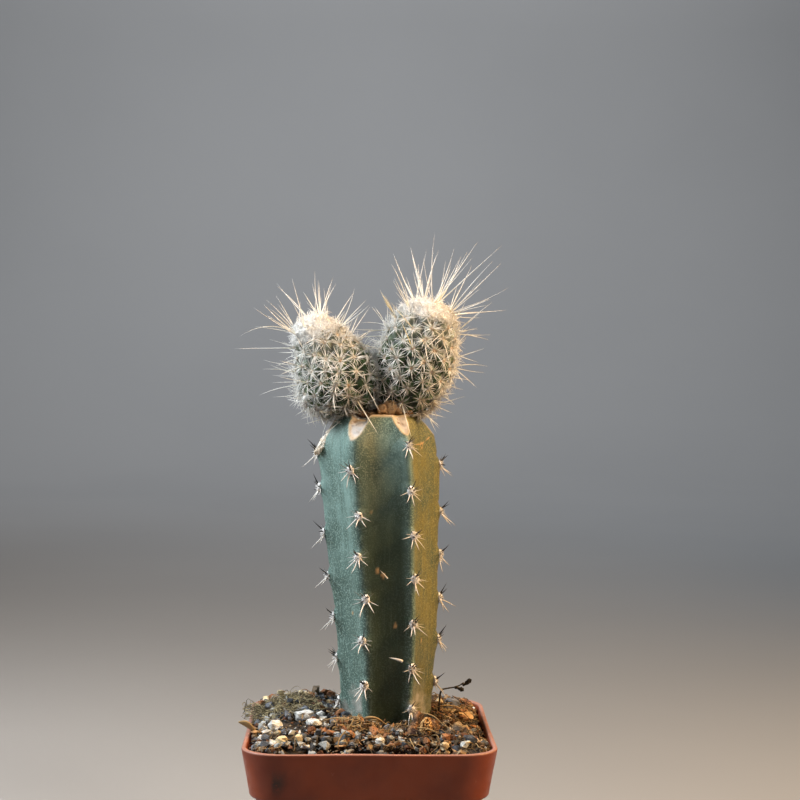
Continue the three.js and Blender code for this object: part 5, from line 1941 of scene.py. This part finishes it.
LOOSE_PIECES = (
    *(LoosePiece(f"stone_{name}", stone.finish, stone.slot, *shape) for name, stone, *shape in (
        ("pumice_long", Stone.PALE, 0.85, 0.34), ("white_left", Stone.PALE, 0.95),
        ("white_flat", Stone.PALE, 0.85), ("cream_left", Stone.TAN, 1.0),
        ("slate_left", Stone.SLATE, 0.5), ("grey_left", Stone.PALE, 0.2),
        ("quartz_front", Stone.PALE, 1.0), ("black_back", Stone.SLATE, 0.1))),
    Knot("bark_knot", KNOT, "bark", 0.55),
    Log("bark_log", BARK, "bark", 0.16),
    LoosePiece("bark_chip_front", BARK, "bark", 0.45, 0.25),
    LoosePiece("bark_chip_right", BARK, "bark", 1.05, 0.5),
    *(LoosePiece(f"stone_{name}", stone.finish, stone.slot, tone) for name, stone, tone in (
        ("purple_back", Stone.SLATE, 0.8), ("tan_right", Stone.TAN, 0.4),
        ("black_right", Stone.SLATE, 0.15), ("cream_right", Stone.TAN, 0.9))),
)


@dataclass(frozen=True)
class Bed:
    """The gritty bed: soil, small stones of five kinds, bark crumbs, straws, roots and a clump of moss."""

    pot: Pot
    column: Column
    gap: float = 0.3
    edge: float = -2.8
    rise: float = 6.3
    slope_length: float = 7.0
    left_rise: float = 2.2
    left_centre: tuple[float, float] = (-27.0, 4.0)
    left_spread: tuple[float, float] = (9.0, 14.0)
    unevenness: float = 0.35
    hollow_depth: float = 1.3
    hollow_centre: tuple[float, float] = (6, -14.5)
    hollow_spread: tuple[float, float] = (7, 4.5)
    lump_height: float = 0.55
    # how far from the column's axis stones and heaped fibres stay
    stones_from_axis: float = 12.2
    heap_from_axis: float = 12.9
    moss_centre: tuple[float, float] = (-22.6, 10.6)
    moss_radii: Point = (9.0, 8.4, 2.7)
    moss_spread: Rows = ((-23.5, 4.5), (12.4, 11.5))
    moss_threads: int = 760
    moss_thickness: tuple[float, float] = (0.11, 0.15)
    # how far the threads stand over the pot's left edge, in height and sideways
    moss_over: tuple[float, float] = (2.6, 1.6)
    stones: int = 1600
    fines: int = 1500
    stone_radius: tuple[float, float] = (0.55, 2.15)
    # a stone of this radius or more has worn edges and uneven faces
    worn_from: float = 1.15
    # half widths as shares of a stone's or a crumb's size
    stone_squash: Point = (1.15, 0.85, 0.66)
    landmark_squash: Point = (1.15, 0.85, 0.75)
    crumb_squash: Point = (1.3, 0.55, 0.22)
    # odds of pale, slate, tan, rusty and brown stones on the left of the bed and on its right
    left_odds: tuple[float, ...] = (0.21, 0.42, 0.11, 0.10, 0.16)
    right_odds: tuple[float, ...] = (0.07, 0.13, 0.13, 0.30, 0.37)
    bark_crumbs: int = 620
    straws: int = 900
    # share of the straws that lie on the left of the bed, and their thickness
    left_straws: float = 0.30
    # a heap of fibres and bark in front of the column's foot: its middle, its half widths and its height
    heap_middle: tuple[float, float] = (-3.6, -16.6)
    heap_half: tuple[float, float] = (6.4, 3.6)
    heap_rise: float = 2.6
    heap_straws: int = 110
    heap_crumbs: int = 60
    straw_thickness: tuple[float, float] = (0.10, 0.34)
    # [x, y, height] of the root and of the tip, the bend in the middle, and the thickness
    placed_straws: Rows = (
        (-4.7, -24.5, 7.4, -6.4, -27, 4.6, 0.8, 0, 0.6, 0.45),
        (-6.4, -27, 4.6, -8.4, -30.5, 0.4, -0.7, 0, 0.3, 0.4),
        (-1.6, -18.2, 5.8, 4.0, -17.6, 4.6, 0, -0.4, 1.0, 0.8),
        (0.2, -17.4, 5.2, 5.2, -16.8, 3.6, 0, -0.5, 0.7, 0.5),
        (-13, -19, 5.2, -5.4, -21.5, 6.0, 0, 0.5, 0.8, 0.3),
        (13.5, -14.5, 6.6, 19.8, -18.6, 4.2, 0.5, 0, 0.9, 0.35),
        (20.2, 4, 4.8, 22.4, -3.2, 6.6, 0.8, 0, 0.4, 0.4),
        (19.2, -5.4, 6.2, 26.6, -3.6, 5.0, 0, -0.4, 0.9, 0.45),
        (-9.8, -15.2, 5.4, -3.4, -18.6, 5.2, 0, -0.6, 0.5, 0.35),
        (12.6, -22.4, 4.4, 18.4, -24.6, 3.4, 0, 0.5, 0.4, 0.4))
    # [x, y, radius] of places in front of the loose pieces where no stone stands
    kept_clear: Rows = ((15.2, -23.0, 2.8), (12.0, -20.4, 2.4), (-20.5, -15.2, 3.6), (-26.3, -11.6, 2.0),
                        (26.2, -29.0, 2.6), (29.5, 1.5, 2.4), (27.5, -25.6, 2.0))
    # [x, y, radius, tone, lift] of stones that stand out, by kind
    landmarks: tuple[tuple[Stone, Rows], ...] = (
        (Stone.TAN, (
            (-25.0, 8.5, 1.8, 0.95, 3.9), (-19.3, 8.5, 1.6, 0.85, 3.0), (-26.5, -17.6, 1.2, 0.6, 0.3),
            (0.2, -28.0, 1.7, 0.7, 0.5), (22, -5, 1.7, 0.55, 0.6), (20.0, -23.8, 1.9, 0.6, 0.4),
            (-12.4, -17.6, 0.9, 0.7, 0.3), (30.4, -3.5, 1.3, 0.5, 0.3))),
        (Stone.PALE, (
            (-11.8, -28.2, 2.4, 0.42, 0.7), (-15.2, -30.2, 1.6, 0.6, 0.3), (-18.1, -27.2, 1.4, 0.7, 0.4),
            (-18.7, -21.2, 1.1, 1.0, 0.5), (-2.7, -18.6, 1.0, 0.95, 0.9), (8.1, -21.9, 1.4, 0.5, 0.9),
            (12.1, -26.6, 0.8, 1.0, 0.5), (-14.6, -27.3, 1.1, 0.3, 0.4), (30.9, -19.5, 1.6, 0.35, 0.8),
            (-6.3, -29.6, 1.0, 0.5, 0.2))),
        (Stone.RUST, (
            (-29.2, -21.5, 1.4, 0.6, 0.4), (-30.4, 9.0, 1.3, 0.75, 3.2), (-10.6, 9.5, 1.7, 0.7, 3.0),
            (11.8, -20.6, 1.7, 0.0, 0.7), (1.2, -20.8, 2.1, 0.95, 0.9), (10, -28.4, 1.8, 0.15, 0.4),
            (13.7, -29.9, 2.1, 0.55, 0.4), (-20.9, -28.4, 1.1, 0.6, 0.5), (-12.2, 13.2, 1.5, 0.5, 2.6),
            (17.8, 4.5, 1.9, 0.6, 0.6), (4.6, -23.2, 1.5, 0.55, 0.6))),
        (Stone.SLATE, (
            (-27.4, -28, 1.9, 0.5, 0.6), (-30.6, -4.6, 1.7, 0.75, 0.8), (-18.0, -25.0, 2.0, 0.45, 0.4),
            (-31.0, -23.5, 1.4, 0.8, 0.4), (-13.6, 10.6, 2.3, 0.4, 2.2), (-28.0, 2.0, 1.6, 0.6, 2.2),
            (-22.0, 3.0, 1.7, 0.4, 1.8), (-17.5, -1.5, 1.5, 0.7, 1.2), (18.7, -21, 1.9, 0.15, 0.5),
            (-22, -19.3, 1.6, 0.5, 0.4), (-7, -24, 1.8, 0.6, 0.4), (3.4, -30.6, 2.2, 0.6, 0.3),
            (-24.2, -5.2, 1.5, 0.3, 0.8), (22.6, -28.6, 1.5, 0.2, 0.3))),
        (Stone.BROWN, (
            (-15.0, 10.6, 1.7, 0.9, 4.0), (24.3, -16.8, 2.3, 0.95, 1.0), (-11.9, -13.5, 1.8, 0.5, 0.6),
            (16.4, -25.0, 1.6, 0.7, 0.4), (28.8, -14.2, 1.9, 0.6, 0.5))),
    )

    def height(self, x: Array, y: Array) -> Array:
        """Works out how high the bed lies: low at the wall, heaped at the left, hollow before the column.

        Args:
            x: places from left to right.
            y: places from front to back.

        Returns:
            The bed's height at each place.
        """
        from_left, from_middle = x - self.left_centre[0], y - self.left_centre[1]
        to_wall = np.maximum(0, self.pot.rim_half - self.pot.wall - np.maximum(np.abs(x), np.abs(y)))
        heap = np.exp(-(from_left**2) / (2 * self.left_spread[0] ** 2)
                      - from_middle**2 / (2 * self.left_spread[1] ** 2))
        ripple = np.sin(0.61 * x + 0.4 * y) * np.cos(0.53 * y - 0.22 * x)
        hollow = np.exp(-(((x - self.hollow_centre[0]) / self.hollow_spread[0]) ** 2)
                        - ((y - self.hollow_centre[1]) / self.hollow_spread[1]) ** 2)
        return (self.edge + self.rise * (1 - np.exp(-to_wall / self.slope_length)) + self.left_rise * heap
                + self.unevenness * ripple - self.hollow_depth * hollow)

    def on_bed(self, flat: Array, lift: Array | float = 0.0) -> Array:
        """Places [x, y] as points on the bed, or above it."""
        return np.column_stack([flat, self.height(flat[:, 0], flat[:, 1]) + lift])

    def from_axis(self, flat: Array) -> Array:
        """The ways from the column's foot to places [x, y]."""
        return flat - [smooth_at(self.column.lean, 3.0), 0]

    def clear(self, strands: Strands) -> Strands:
        """The strands that stay out of the column."""
        return strands.kept(~self.column.holds(strands.middle_lines(HALVES), 0.2).any(axis=1))

    def build(self) -> None:
        """Makes everything in the pot but the plant."""
        rng = np.random.default_rng(21)
        make_piece("soil_ground", self.ground(), SOIL, ("soil_bed",))
        for loose in LOOSE_PIECES:
            loose.build()
        self.build_stones(rng)
        make_piece("bark_crumbs", self.crumbs(rng), BARK, crease=30)
        make_piece("straw_litter", self.litter(rng).skin(5, 7, 5.0), STRAW)
        self.build_moss(rng)

    def ground(self) -> Skin:
        """The soil under the stones, closed down to the pot's floor.

        Returns:
            A closed skin.
        """
        outline = self.pot.ring(1.0)
        walls = [np.column_stack([outline * (self.pot.inside_half(depth) - self.gap),
                                  np.full(len(outline), depth)]) for depth in (-60.2, -14.4, -12.4, -7.0)]
        half = self.pot.inside_half(self.edge) - self.gap
        tops = []
        for share in np.linspace(1, 0.02, 56):
            level = self.on_bed(outline * half * share)
            lumps = self.lump_height * rough(level, 2.2, 4) * min(1.0, (1 - share) * 12)
            tops.append(level + UP * (lumps - 0.5)[:, None])
        return loft(np.array(walls + tops)).with_values(tone=0.5)

    def free_places(self, radii: Array, rng: Draws) -> Array:
        """Draws places in the pot, clear of the column and of the pot's rounded corners.

        Args:
            radii: the radius of the stone at each place.
            rng: the source of the places.

        Returns:
            The places [x, y].
        """
        half = self.pot.inside_half(0) - self.gap
        flat = rng.uniform(-1, 1, (len(radii), 2)) * (half - radii * 0.8)[:, None]
        corner = half - self.pot.corner_radius
        past = np.maximum(np.abs(flat) - corner, 0)
        room = self.pot.corner_radius - 0.4 - radii * 0.8
        reach = np.linalg.norm(past, axis=1)
        pull = np.where(reach > room, room / np.maximum(reach, 1e-6), 1.0)[:, None]
        flat = np.sign(flat) * (np.minimum(np.abs(flat), corner) + past * pull)
        away = self.from_axis(flat)
        close = np.linalg.norm(away, axis=1) < self.stones_from_axis + radii * 0.5
        return np.where(close[:, None], flat + unit(away) * (4 + radii)[:, None], flat)

    @staticmethod
    def broken_shapes(corners: int, broken: bool, rng: Draws) -> list[tuple[Array, Array]]:
        """Makes sixteen angular shapes of unit size.

        Args:
            corners: how many main corners each has.
            broken: whether its edges are worn and its faces uneven.
            rng: the source of the corners.

        Returns:
            The shapes as their points and triangles.
        """
        shapes = []
        for _ in range(16):
            shape = bmesh.new()
            for i in range(corners):
                z = 1 - (2 * i + 1) / corners
                turn = i * GOLDEN_ANGLE + rng.uniform(0, 1.4)
                flat = math.sqrt(1 - z * z)
                way = Vector((flat * math.cos(turn), flat * math.sin(turn), z))
                shape.verts.new(way * rng.uniform(0.62, 1))
            bmesh.ops.convex_hull(shape, input=shape.verts)
            if broken:
                bmesh.ops.bevel(shape, geom=list(shape.edges), offset=0.035, segments=1, affect="EDGES",
                                clamp_overlap=True)
                bmesh.ops.subdivide_edges(shape, edges=list(shape.edges), cuts=1, use_grid_fill=True,
                                          fractal=0.4, along_normal=0.6, seed=int(rng.integers(9999)))
            bmesh.ops.triangulate(shape, faces=shape.faces)
            shapes.append(taken_apart(shape))
        return shapes

    def scattered(self, shapes: list[tuple[Array, Array]], flat: Array, radii: Array, lift: Array,
                  tone: Array, squash: Point, tilt: float, rng: Draws) -> Skin:
        """Lays shapes on the bed.

        Args:
            shapes: the shapes to draw from.
            flat: places [x, y].
            radii: each piece's size.
            lift: each piece's height above the bed.
            tone: each piece's shade.
            squash: mean half widths as shares of a piece's size.
            tilt: how far pieces lean, in degrees.
            rng: the source of small differences.

        Returns:
            One skin of separate pieces.
        """
        skins = []
        for centre, radius, shade in zip(self.on_bed(flat, lift), radii, tone):
            points, faces = shapes[rng.integers(len(shapes))]
            size = radius * np.array(squash) * rng.uniform(0.82, 1.2, 3)
            lean = np.radians(rng.normal(0, tilt, 2))
            turn = Matrix.Rotation(rng.uniform(0, 6.3), 3, "Z") @ Matrix.Rotation(lean[0], 3, "X")
            turn = np.array(turn @ Matrix.Rotation(lean[1], 3, "Y"))
            laid = (points * size) @ turn.T
            # darker towards each piece's underside: soil clinging there, and painted contact shade
            soil = fade(laid[:, 2] / (radius * squash[2]), -0.1, -0.7)
            skins.append(Skin(laid + centre, [faces]).with_values(tone=shade, soil=soil))
        return joined(skins)

    def build_stones(self, rng: Draws) -> None:
        """Makes the small stones, one piece for each kind: grey on the bed's left, rusty on its right.

        Args:
            rng: the source of their places, sizes and kinds.
        """
        small, large = self.stone_radius
        radii = small + (large - small) * rng.random(self.stones) ** 1.9
        radii = np.append(radii, rng.uniform(0.28, 0.6, self.fines))
        flat = self.free_places(radii, rng)
        right = fade(flat[:, 0] + rng.normal(0, 7, len(radii)), -12, 14)
        left_odds, right_odds = np.array(self.left_odds), np.array(self.right_odds)
        odds = left_odds + right[:, None] * (right_odds - left_odds)
        kind = (rng.random((len(radii), 1)) > np.cumsum(odds, axis=1)).sum(axis=1)
        tone = rng.uniform(0.05, 0.95, len(radii))
        landmarks = dict(self.landmarks)
        fine, coarse = self.broken_shapes(8, False, rng), self.broken_shapes(9, True, rng)
        for number, stone in enumerate(Stone):
            skins = []
            for shapes, picked in ((fine, radii < self.worn_from), (coarse, radii >= self.worn_from)):
                own = (kind == number) & picked & ~self.under_loose(flat, radii)
                lift = radii[own] * rng.uniform(-0.1, 0.5, own.sum())
                skins.append(self.scattered(shapes, flat[own], radii[own], lift, tone[own],
                                            self.stone_squash, 26, rng))
            marks = np.array(landmarks[stone])
            skins.append(self.scattered(coarse, marks[:, :2], marks[:, 2], marks[:, 4], marks[:, 3],
                                        self.landmark_squash, 14, rng))
            make_piece(f"grit_{stone.name.lower()}", joined(skins), stone.finish, crease=20)

    def under_loose(self, flat: Array, radii: Array) -> Array:
        """Finds the small stones that would stand in a loose piece or hide one.

        Args:
            flat: places [x, y].
            radii: the stones' radii.

        Returns:
            Whether each of them would.
        """
        covered = np.zeros(len(flat), bool)
        for loose in LOOSE_PIECES:
            low, high = (np.array(corner)[:2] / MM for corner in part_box(loose.node))
            middle, half = (low + high) / 2, (high - low) / 2
            covered |= (np.linalg.norm((flat - middle) / half, axis=1) < 0.8) & (radii > 0.9)
        for x, y, reach in self.kept_clear:
            covered |= (np.hypot(flat[:, 0] - x, flat[:, 1] - y) < reach) & (radii > 0.62)
        return covered

    def crumbs(self, rng: Draws) -> Skin:
        """Makes splinters and crumbs of bark, most of them on the right.

        Args:
            rng: the source of their places, sizes and shapes.

        Returns:
            One skin of separate crumbs.
        """
        count = self.bark_crumbs
        radii = 0.7 + 1.6 * rng.random(count) ** 1.8
        flat = self.free_places(radii, rng)
        wanted = rng.random(count) < 0.12 + 0.88 * fade(flat[:, 0], -8, 6)
        wanted &= ~self.under_loose(flat, radii)
        heaped, lift = self.heaped(self.heap_crumbs, rng)
        flat = np.concatenate([flat[wanted], heaped])
        radii = np.append(radii[wanted], rng.uniform(0.7, 1.9, self.heap_crumbs))
        lift = np.append(rng.uniform(0.1, 1.0, wanted.sum()), lift)
        tone = rng.random(len(radii)) ** 1.5
        return joined([self.scattered(self.broken_shapes(9, broken, rng), flat[own], radii[own], lift[own],
                                      tone[own], self.crumb_squash, 30, rng)
                       for broken, own in ((False, radii < 1.25), (True, radii >= 1.25))])

    def heaped(self, count: int, rng: Draws) -> tuple[Array, Array]:
        """Draws places in the heap at the column's foot, clear of the column.

        Args:
            count: how many there are.
            rng: the source of the places.

        Returns:
            The places [x, y] and their heights above the bed.
        """
        turn, reach = rng.uniform(0, FULL_TURN, count), np.sqrt(rng.random(count))
        flat = level_ways(turn) * reach[:, None] * self.heap_half + self.heap_middle
        away = self.from_axis(flat)
        flat += unit(away) * np.maximum(0, self.heap_from_axis - np.linalg.norm(away, axis=1))[:, None]
        return flat, 0.3 + self.heap_rise * (1 - reach**2) * rng.uniform(0.3, 1, count)

    def litter(self, rng: Draws) -> Strands:
        """Lays straws and dead roots about the bed, on its heap and where long ones show in front.

        Args:
            rng: the source of their places and shapes.

        Returns:
            All of them.
        """
        count = self.straws
        flat = self.free_places(np.full(count, 0.6), rng)
        turn = rng.uniform(0, FULL_TURN, count)
        length = 1.6 + 5.4 * rng.random(count) ** 1.6
        half = level_ways(turn) * (length / 2)[:, None]
        limit = self.pot.inside_half(0) - 1.2
        roots = self.on_bed(np.clip(flat - half, -limit, limit), rng.uniform(0.5, 1.6, count))
        tips = self.on_bed(np.clip(flat + half, -limit, limit), rng.uniform(0.5, 1.8, count))
        arches = rng.normal(0, 0.09, (count, 3)) * length[:, None] + UP * 0.25
        sways = rng.normal(0, 0.06, (count, 3)) * length[:, None]
        thin, thick = self.straw_thickness
        thickness = thin + (thick - thin) * rng.random(count) ** 2
        loose = Strands(roots, tips, arches, thickness, rng.random(count), sways)
        odds = self.left_straws + (1 - self.left_straws) * fade(flat[:, 0], -14, 8)
        loose = self.clear(loose.kept(rng.random(count) < odds))
        placed = Strands.placed(self.placed_straws, 0.35, 0.1)
        count = self.heap_straws
        middle, lift = self.heaped(count, rng)
        turn = rng.uniform(0, FULL_TURN, count)
        step = level_ways(turn) * rng.uniform(0.6, 2.4, (count, 1))
        lift = lift + rng.normal(0, 0.5, (2, count))
        heap = Strands(self.on_bed(middle - step, lift[0]), self.on_bed(middle + step, lift[1]),
                       rng.normal(0, 0.5, (count, 3)) + UP * 0.5, rng.uniform(0.14, 0.5, count),
                       rng.random(count) * 0.7, rng.normal(0, 0.35, (count, 3)))
        return Strands.of([loose, placed, self.clear(heap)])

    def build_moss(self, rng: Draws) -> None:
        """Makes the mat of dry moss and fibre: a dark matted core under long bent threads.

        Args:
            rng: the source of the threads.
        """
        x, y = self.moss_centre
        middle = np.array([x, y, float(self.height(np.array(x), np.array(y)))])
        core = ball(middle - UP * 0.9, np.array(self.moss_radii) * [0.93, 0.93, 0.5], 60, 24)
        core = core.roughened(0.9, 2.0, 4).with_values(along=0.1, tone=0.95)
        count = self.moss_threads
        turn, reach = rng.uniform(0, FULL_TURN, count), np.sqrt(rng.random(count))
        centre, spread = np.array(self.moss_spread)
        flat = level_ways(turn) * reach[:, None] * spread + centre
        heading = rng.uniform(0, FULL_TURN, count)
        length = 1.8 + 5.4 * rng.random(count) ** 1.5
        step = level_ways(heading) * (length / 2)[:, None]
        limit = self.pot.rim_half + self.moss_over[1]
        ends = [np.clip(flat + way * step, -limit, limit) for way in (-1, 1)]
        roots, tips = (self.on_mat(end, rng.uniform(-0.3, 0.8, count)) for end in ends)
        arches = rng.normal(0, 0.16, (count, 3)) * length[:, None] + UP * rng.uniform(0.0, 1.0, (count, 1))
        sways = rng.normal(0, 0.10, (count, 3)) * length[:, None]
        thin, more = self.moss_thickness
        thickness = thin + more * rng.random(count) ** 2
        threads = Strands(roots, tips, arches, thickness, rng.random(count) ** 1.3, sways)
        inside = (threads.middle_lines(HALVES)[..., 0] > -limit).all(axis=1)
        threads = self.clear(threads.kept(inside))
        make_piece("moss_mat", joined([core, threads.skin(4, 8, 4.0)]), MOSS, ("moss_clump",))

    def on_mat(self, flat: Array, lift: Array) -> Array:
        """Raises places onto the moss, which lies over the rim of the pot at its left.

        Args:
            flat: places [x, y].
            lift: their heights above the moss.

        Returns:
            Points on the moss or above it.
        """
        level = self.height(flat[:, 0], flat[:, 1]) + 0.3 * self.mound(flat)
        over = fade(flat[:, 0], -26.0, -32.0)
        high = self.moss_over[0] * fade(np.abs(flat[:, 1] - self.moss_spread[0][1]), 13, 4)
        return np.column_stack([flat, level + lift + over * np.maximum(high - level, 0)])

    def mound(self, flat: Array) -> Array:
        """How far the moss stands above the bed at places [x, y]."""
        share = np.linalg.norm((flat - self.moss_centre) / np.array(self.moss_radii[:2]), axis=1)
        return self.moss_radii[2] * np.sqrt(np.maximum(0, 1 - share**2))


@dataclass(frozen=True)
class Sprig:
    """The dry sprig that stands right of the column, and the dead leaf over the pot's left edge."""

    stem: Rows = ((19.4, 2.2, -1.5), (19.9, 2.4, 4), (20.1, 2.6, 7.4), (20.6, 2.7, 9.2), (22.2, 2.8, 9.7),
                  (24.1, 2.9, 10), (25.6, 3, 10.5), (26.8, 3, 11.3))
    thickness: float = 0.5
    # [x, y, height, half length, half width, lean in degrees] of the dry pods
    pods: Rows = ((24.8, 2.9, 9.9, 0.6, 0.32, 10), (26.0, 2.8, 9.4, 1.1, 0.62, -18),
                  (26.9, 3.1, 10.7, 0.5, 0.4, 50), (28.0, 3, 11.5, 1.15, 0.62, 38))
    pod_depth: float = 0.32
    leaf_root: Point = (-30.9, -12.6, 1.0)
    leaf_tip: Point = (-35.7, -12.0, 3.5)
    leaf_half: float = 1.15
    leaf_arch: float = 0.7
    leaf_face: Point = (0.25, -0.5, 0.83)
    # [share of the half width, lift] round the leaf's folded section
    leaf_section: Rows = ((-1.0, 0.0), (-0.5, -0.22), (0, -0.34), (0.5, -0.22), (1.0, 0.0), (0.5, 0.1),
                          (0, -0.02), (-0.5, 0.1))

    def build(self) -> None:
        """Makes the sprig and the leaf."""
        share = np.linspace(0, 1, 34)
        line = smooth_line(np.linspace(0, 1, len(self.stem)), np.array(self.stem), share)
        width = self.thickness / 2 * (1.2 - 0.5 * share) * (1 + 0.22 * rough(line, 0.9, 2))
        skins = [tube(line, width).with_values(tone=0.35)]
        for x, y, z, length, half, lean in self.pods:
            pod = ball((x, y, z), (length, self.pod_depth, half), 24, 16, self.leaning(lean))
            skins.append(pod.roughened(0.34, 0.8, 3).with_values(tone=0.15))
        make_piece("sprig_dry", joined(skins), DRY_STEM, ("dry_sprig",))
        make_piece("leaf_dead", self.leaf(), STRAW)

    @staticmethod
    def leaning(degrees: float) -> Array:
        """The directions of a pod's half widths when it leans upwards by some degrees."""
        c, s = math.cos(math.radians(degrees)), math.sin(math.radians(degrees))
        return np.array([[c, 0, s], [0, 1, 0], [-s, 0, c]])

    def leaf(self) -> Skin:
        """A short pointed blade, arched along its length and folded along its middle.

        Returns:
            A closed skin.
        """
        share = np.linspace(0, 1, 12)
        arch = UP * (self.leaf_arch * np.sin(math.pi * share))[:, None]
        line = run_between(self.leaf_root, self.leaf_tip, share) + arch
        width = self.leaf_half * np.sin(math.pi * (0.12 + 0.86 * share)) ** 0.8
        sections = [line - np.array(self.leaf_face) * (aside * width)[:, None]
                    + ALONG_Y * (lift * (0.4 + width))[:, None] for aside, lift in self.leaf_section]
        body = loft(np.stack(sections, axis=1)[:, ::-1])
        along = np.append(np.repeat(0.25 + 0.5 * share, len(sections)), [0.25, 0.75])
        return body.with_values(along=along, tone=0.12)


# The studio

@dataclass(frozen=True)
class Lamp:
    """A soft square light, given by where it stands and what it shines on."""

    name: str
    place: Point
    target: Point
    width: float
    power: float
    colour: Colour
    spread: float = 180.0

    def build(self) -> None:
        """Puts the light in the scene."""
        light = bpy.data.lights.new(self.name, "AREA")
        light.shape = "SQUARE"
        light.spread = math.radians(self.spread)
        light.size = self.width
        light.energy = self.power
        light.color = self.colour
        lamp = linked(self.name, light)
        lamp.location = self.place
        lamp.rotation_euler = (Vector(self.target) - Vector(self.place)).to_track_quat("-Z", "Y").to_euler()


@dataclass(frozen=True)
class Studio:
    """A pale floor that curves up into a wall, soft lights and the camera at the photograph's viewpoint."""

    camera_place: Point = (-7.0, -466.0, 110.6)
    yaw: float = 1.84
    pitch: float = 2.39
    roll: float = 0.54
    focal_pixels: float = 1677.0
    frame_pixels: float = 800.0
    sensor: float = 36.0
    near: float = 0.01
    lamps: tuple[Lamp, ...] = (
        Lamp("cool_left", (-0.55, -0.018, 0.57), (0, 0, 0.13), 0.26, 3.1, (0.92, 0.97, 1.0), 110),
        Lamp("warm_right", (0.54, -0.09, 0.54), (0, 0, 0.13), 0.20, 2.9, (1.0, 0.64, 0.31), 110),
        Lamp("heads", (0.30, -0.42, 0.56), (0, 0, 0.205), 0.12, 0.036, (1.0, 0.93, 0.83), 24),
        Lamp("wall", (0.0, 0.8, 1.5), (0, 1.9, 0.5), 1.0, 11.5, (1.0, 1.0, 1.0), 130),
    )
    ambient: float = 0.028
    ambient_colour: Colour = (0.97, 0.98, 0.96)
    # the stage in metres: its half width, its front edge, where it bends up and how, and the wall's top
    half_width: float = 3.0
    front: float = -2.0
    bend_start: float = 1.3
    bend_radius: float = 0.6
    wall_top: float = 2.2

    def build(self) -> None:
        """Makes the stage, the lights and the camera."""
        self.build_stage()
        for lamp in self.lamps:
            lamp.build()
        world = bpy.data.worlds.new("studio")
        world.use_nodes = True
        ground = world.node_tree.nodes["Background"].inputs
        ground["Color"].default_value = (*self.ambient_colour, 1.0)
        ground["Strength"].default_value = self.ambient
        bpy.context.scene.world = world
        bpy.context.scene.view_settings.view_transform = "Standard"
        self.build_camera()

    def build_stage(self) -> None:
        """Makes the floor and the wall behind as one curved sheet."""
        start, radius = self.bend_start, self.bend_radius
        bend = [(start + radius * math.sin(a), radius - radius * math.cos(a))
                for a in np.linspace(0, math.pi / 2, 24)]
        profile = [(self.front, 0.0), (0.0, 0.0), *bend, (start + radius, self.wall_top)]
        points = [(x, y, z) for y, z in profile for x in (-self.half_width, self.half_width)]
        faces = [(2 * i, 2 * i + 1, 2 * i + 3, 2 * i + 2) for i in range(len(profile) - 1)]
        mesh = smooth_mesh("stage", points, faces)
        dress(mesh, StageFinish())
        stage = linked("stage", mesh)

    def build_camera(self) -> None:
        """Puts the camera where the photograph was taken from."""
        data = bpy.data.cameras.new("camera")
        data.sensor_width = self.sensor
        data.lens = self.focal_pixels / self.frame_pixels * self.sensor
        data.clip_start = self.near
        camera = linked("camera", data)
        x, y, z = self.camera_place
        camera.matrix_world = (Matrix.Translation(Vector((x, y, z + POT_HEIGHT)) * MM)
                               @ Matrix.Rotation(-math.radians(self.yaw), 4, "Z")
                               @ Matrix.Rotation(math.pi / 2 - math.radians(self.pitch), 4, "X")
                               @ Matrix.Rotation(math.radians(self.roll), 4, "Z"))
        bpy.context.scene.camera = camera


def main() -> None:
    """Builds the studio and every sub-assembly in order."""
    logging.basicConfig(level=logging.INFO, format="%(name)s: %(message)s")
    pot, column = Pot(), Column()
    Studio().build()
    pot.build()
    column.build()
    Callus().build()
    for head in (LEFT_HEAD, RIGHT_HEAD):
        head.build(column)
    Bed(pot, column).build()
    Sprig().build()


if __name__ == "__main__":
    main()
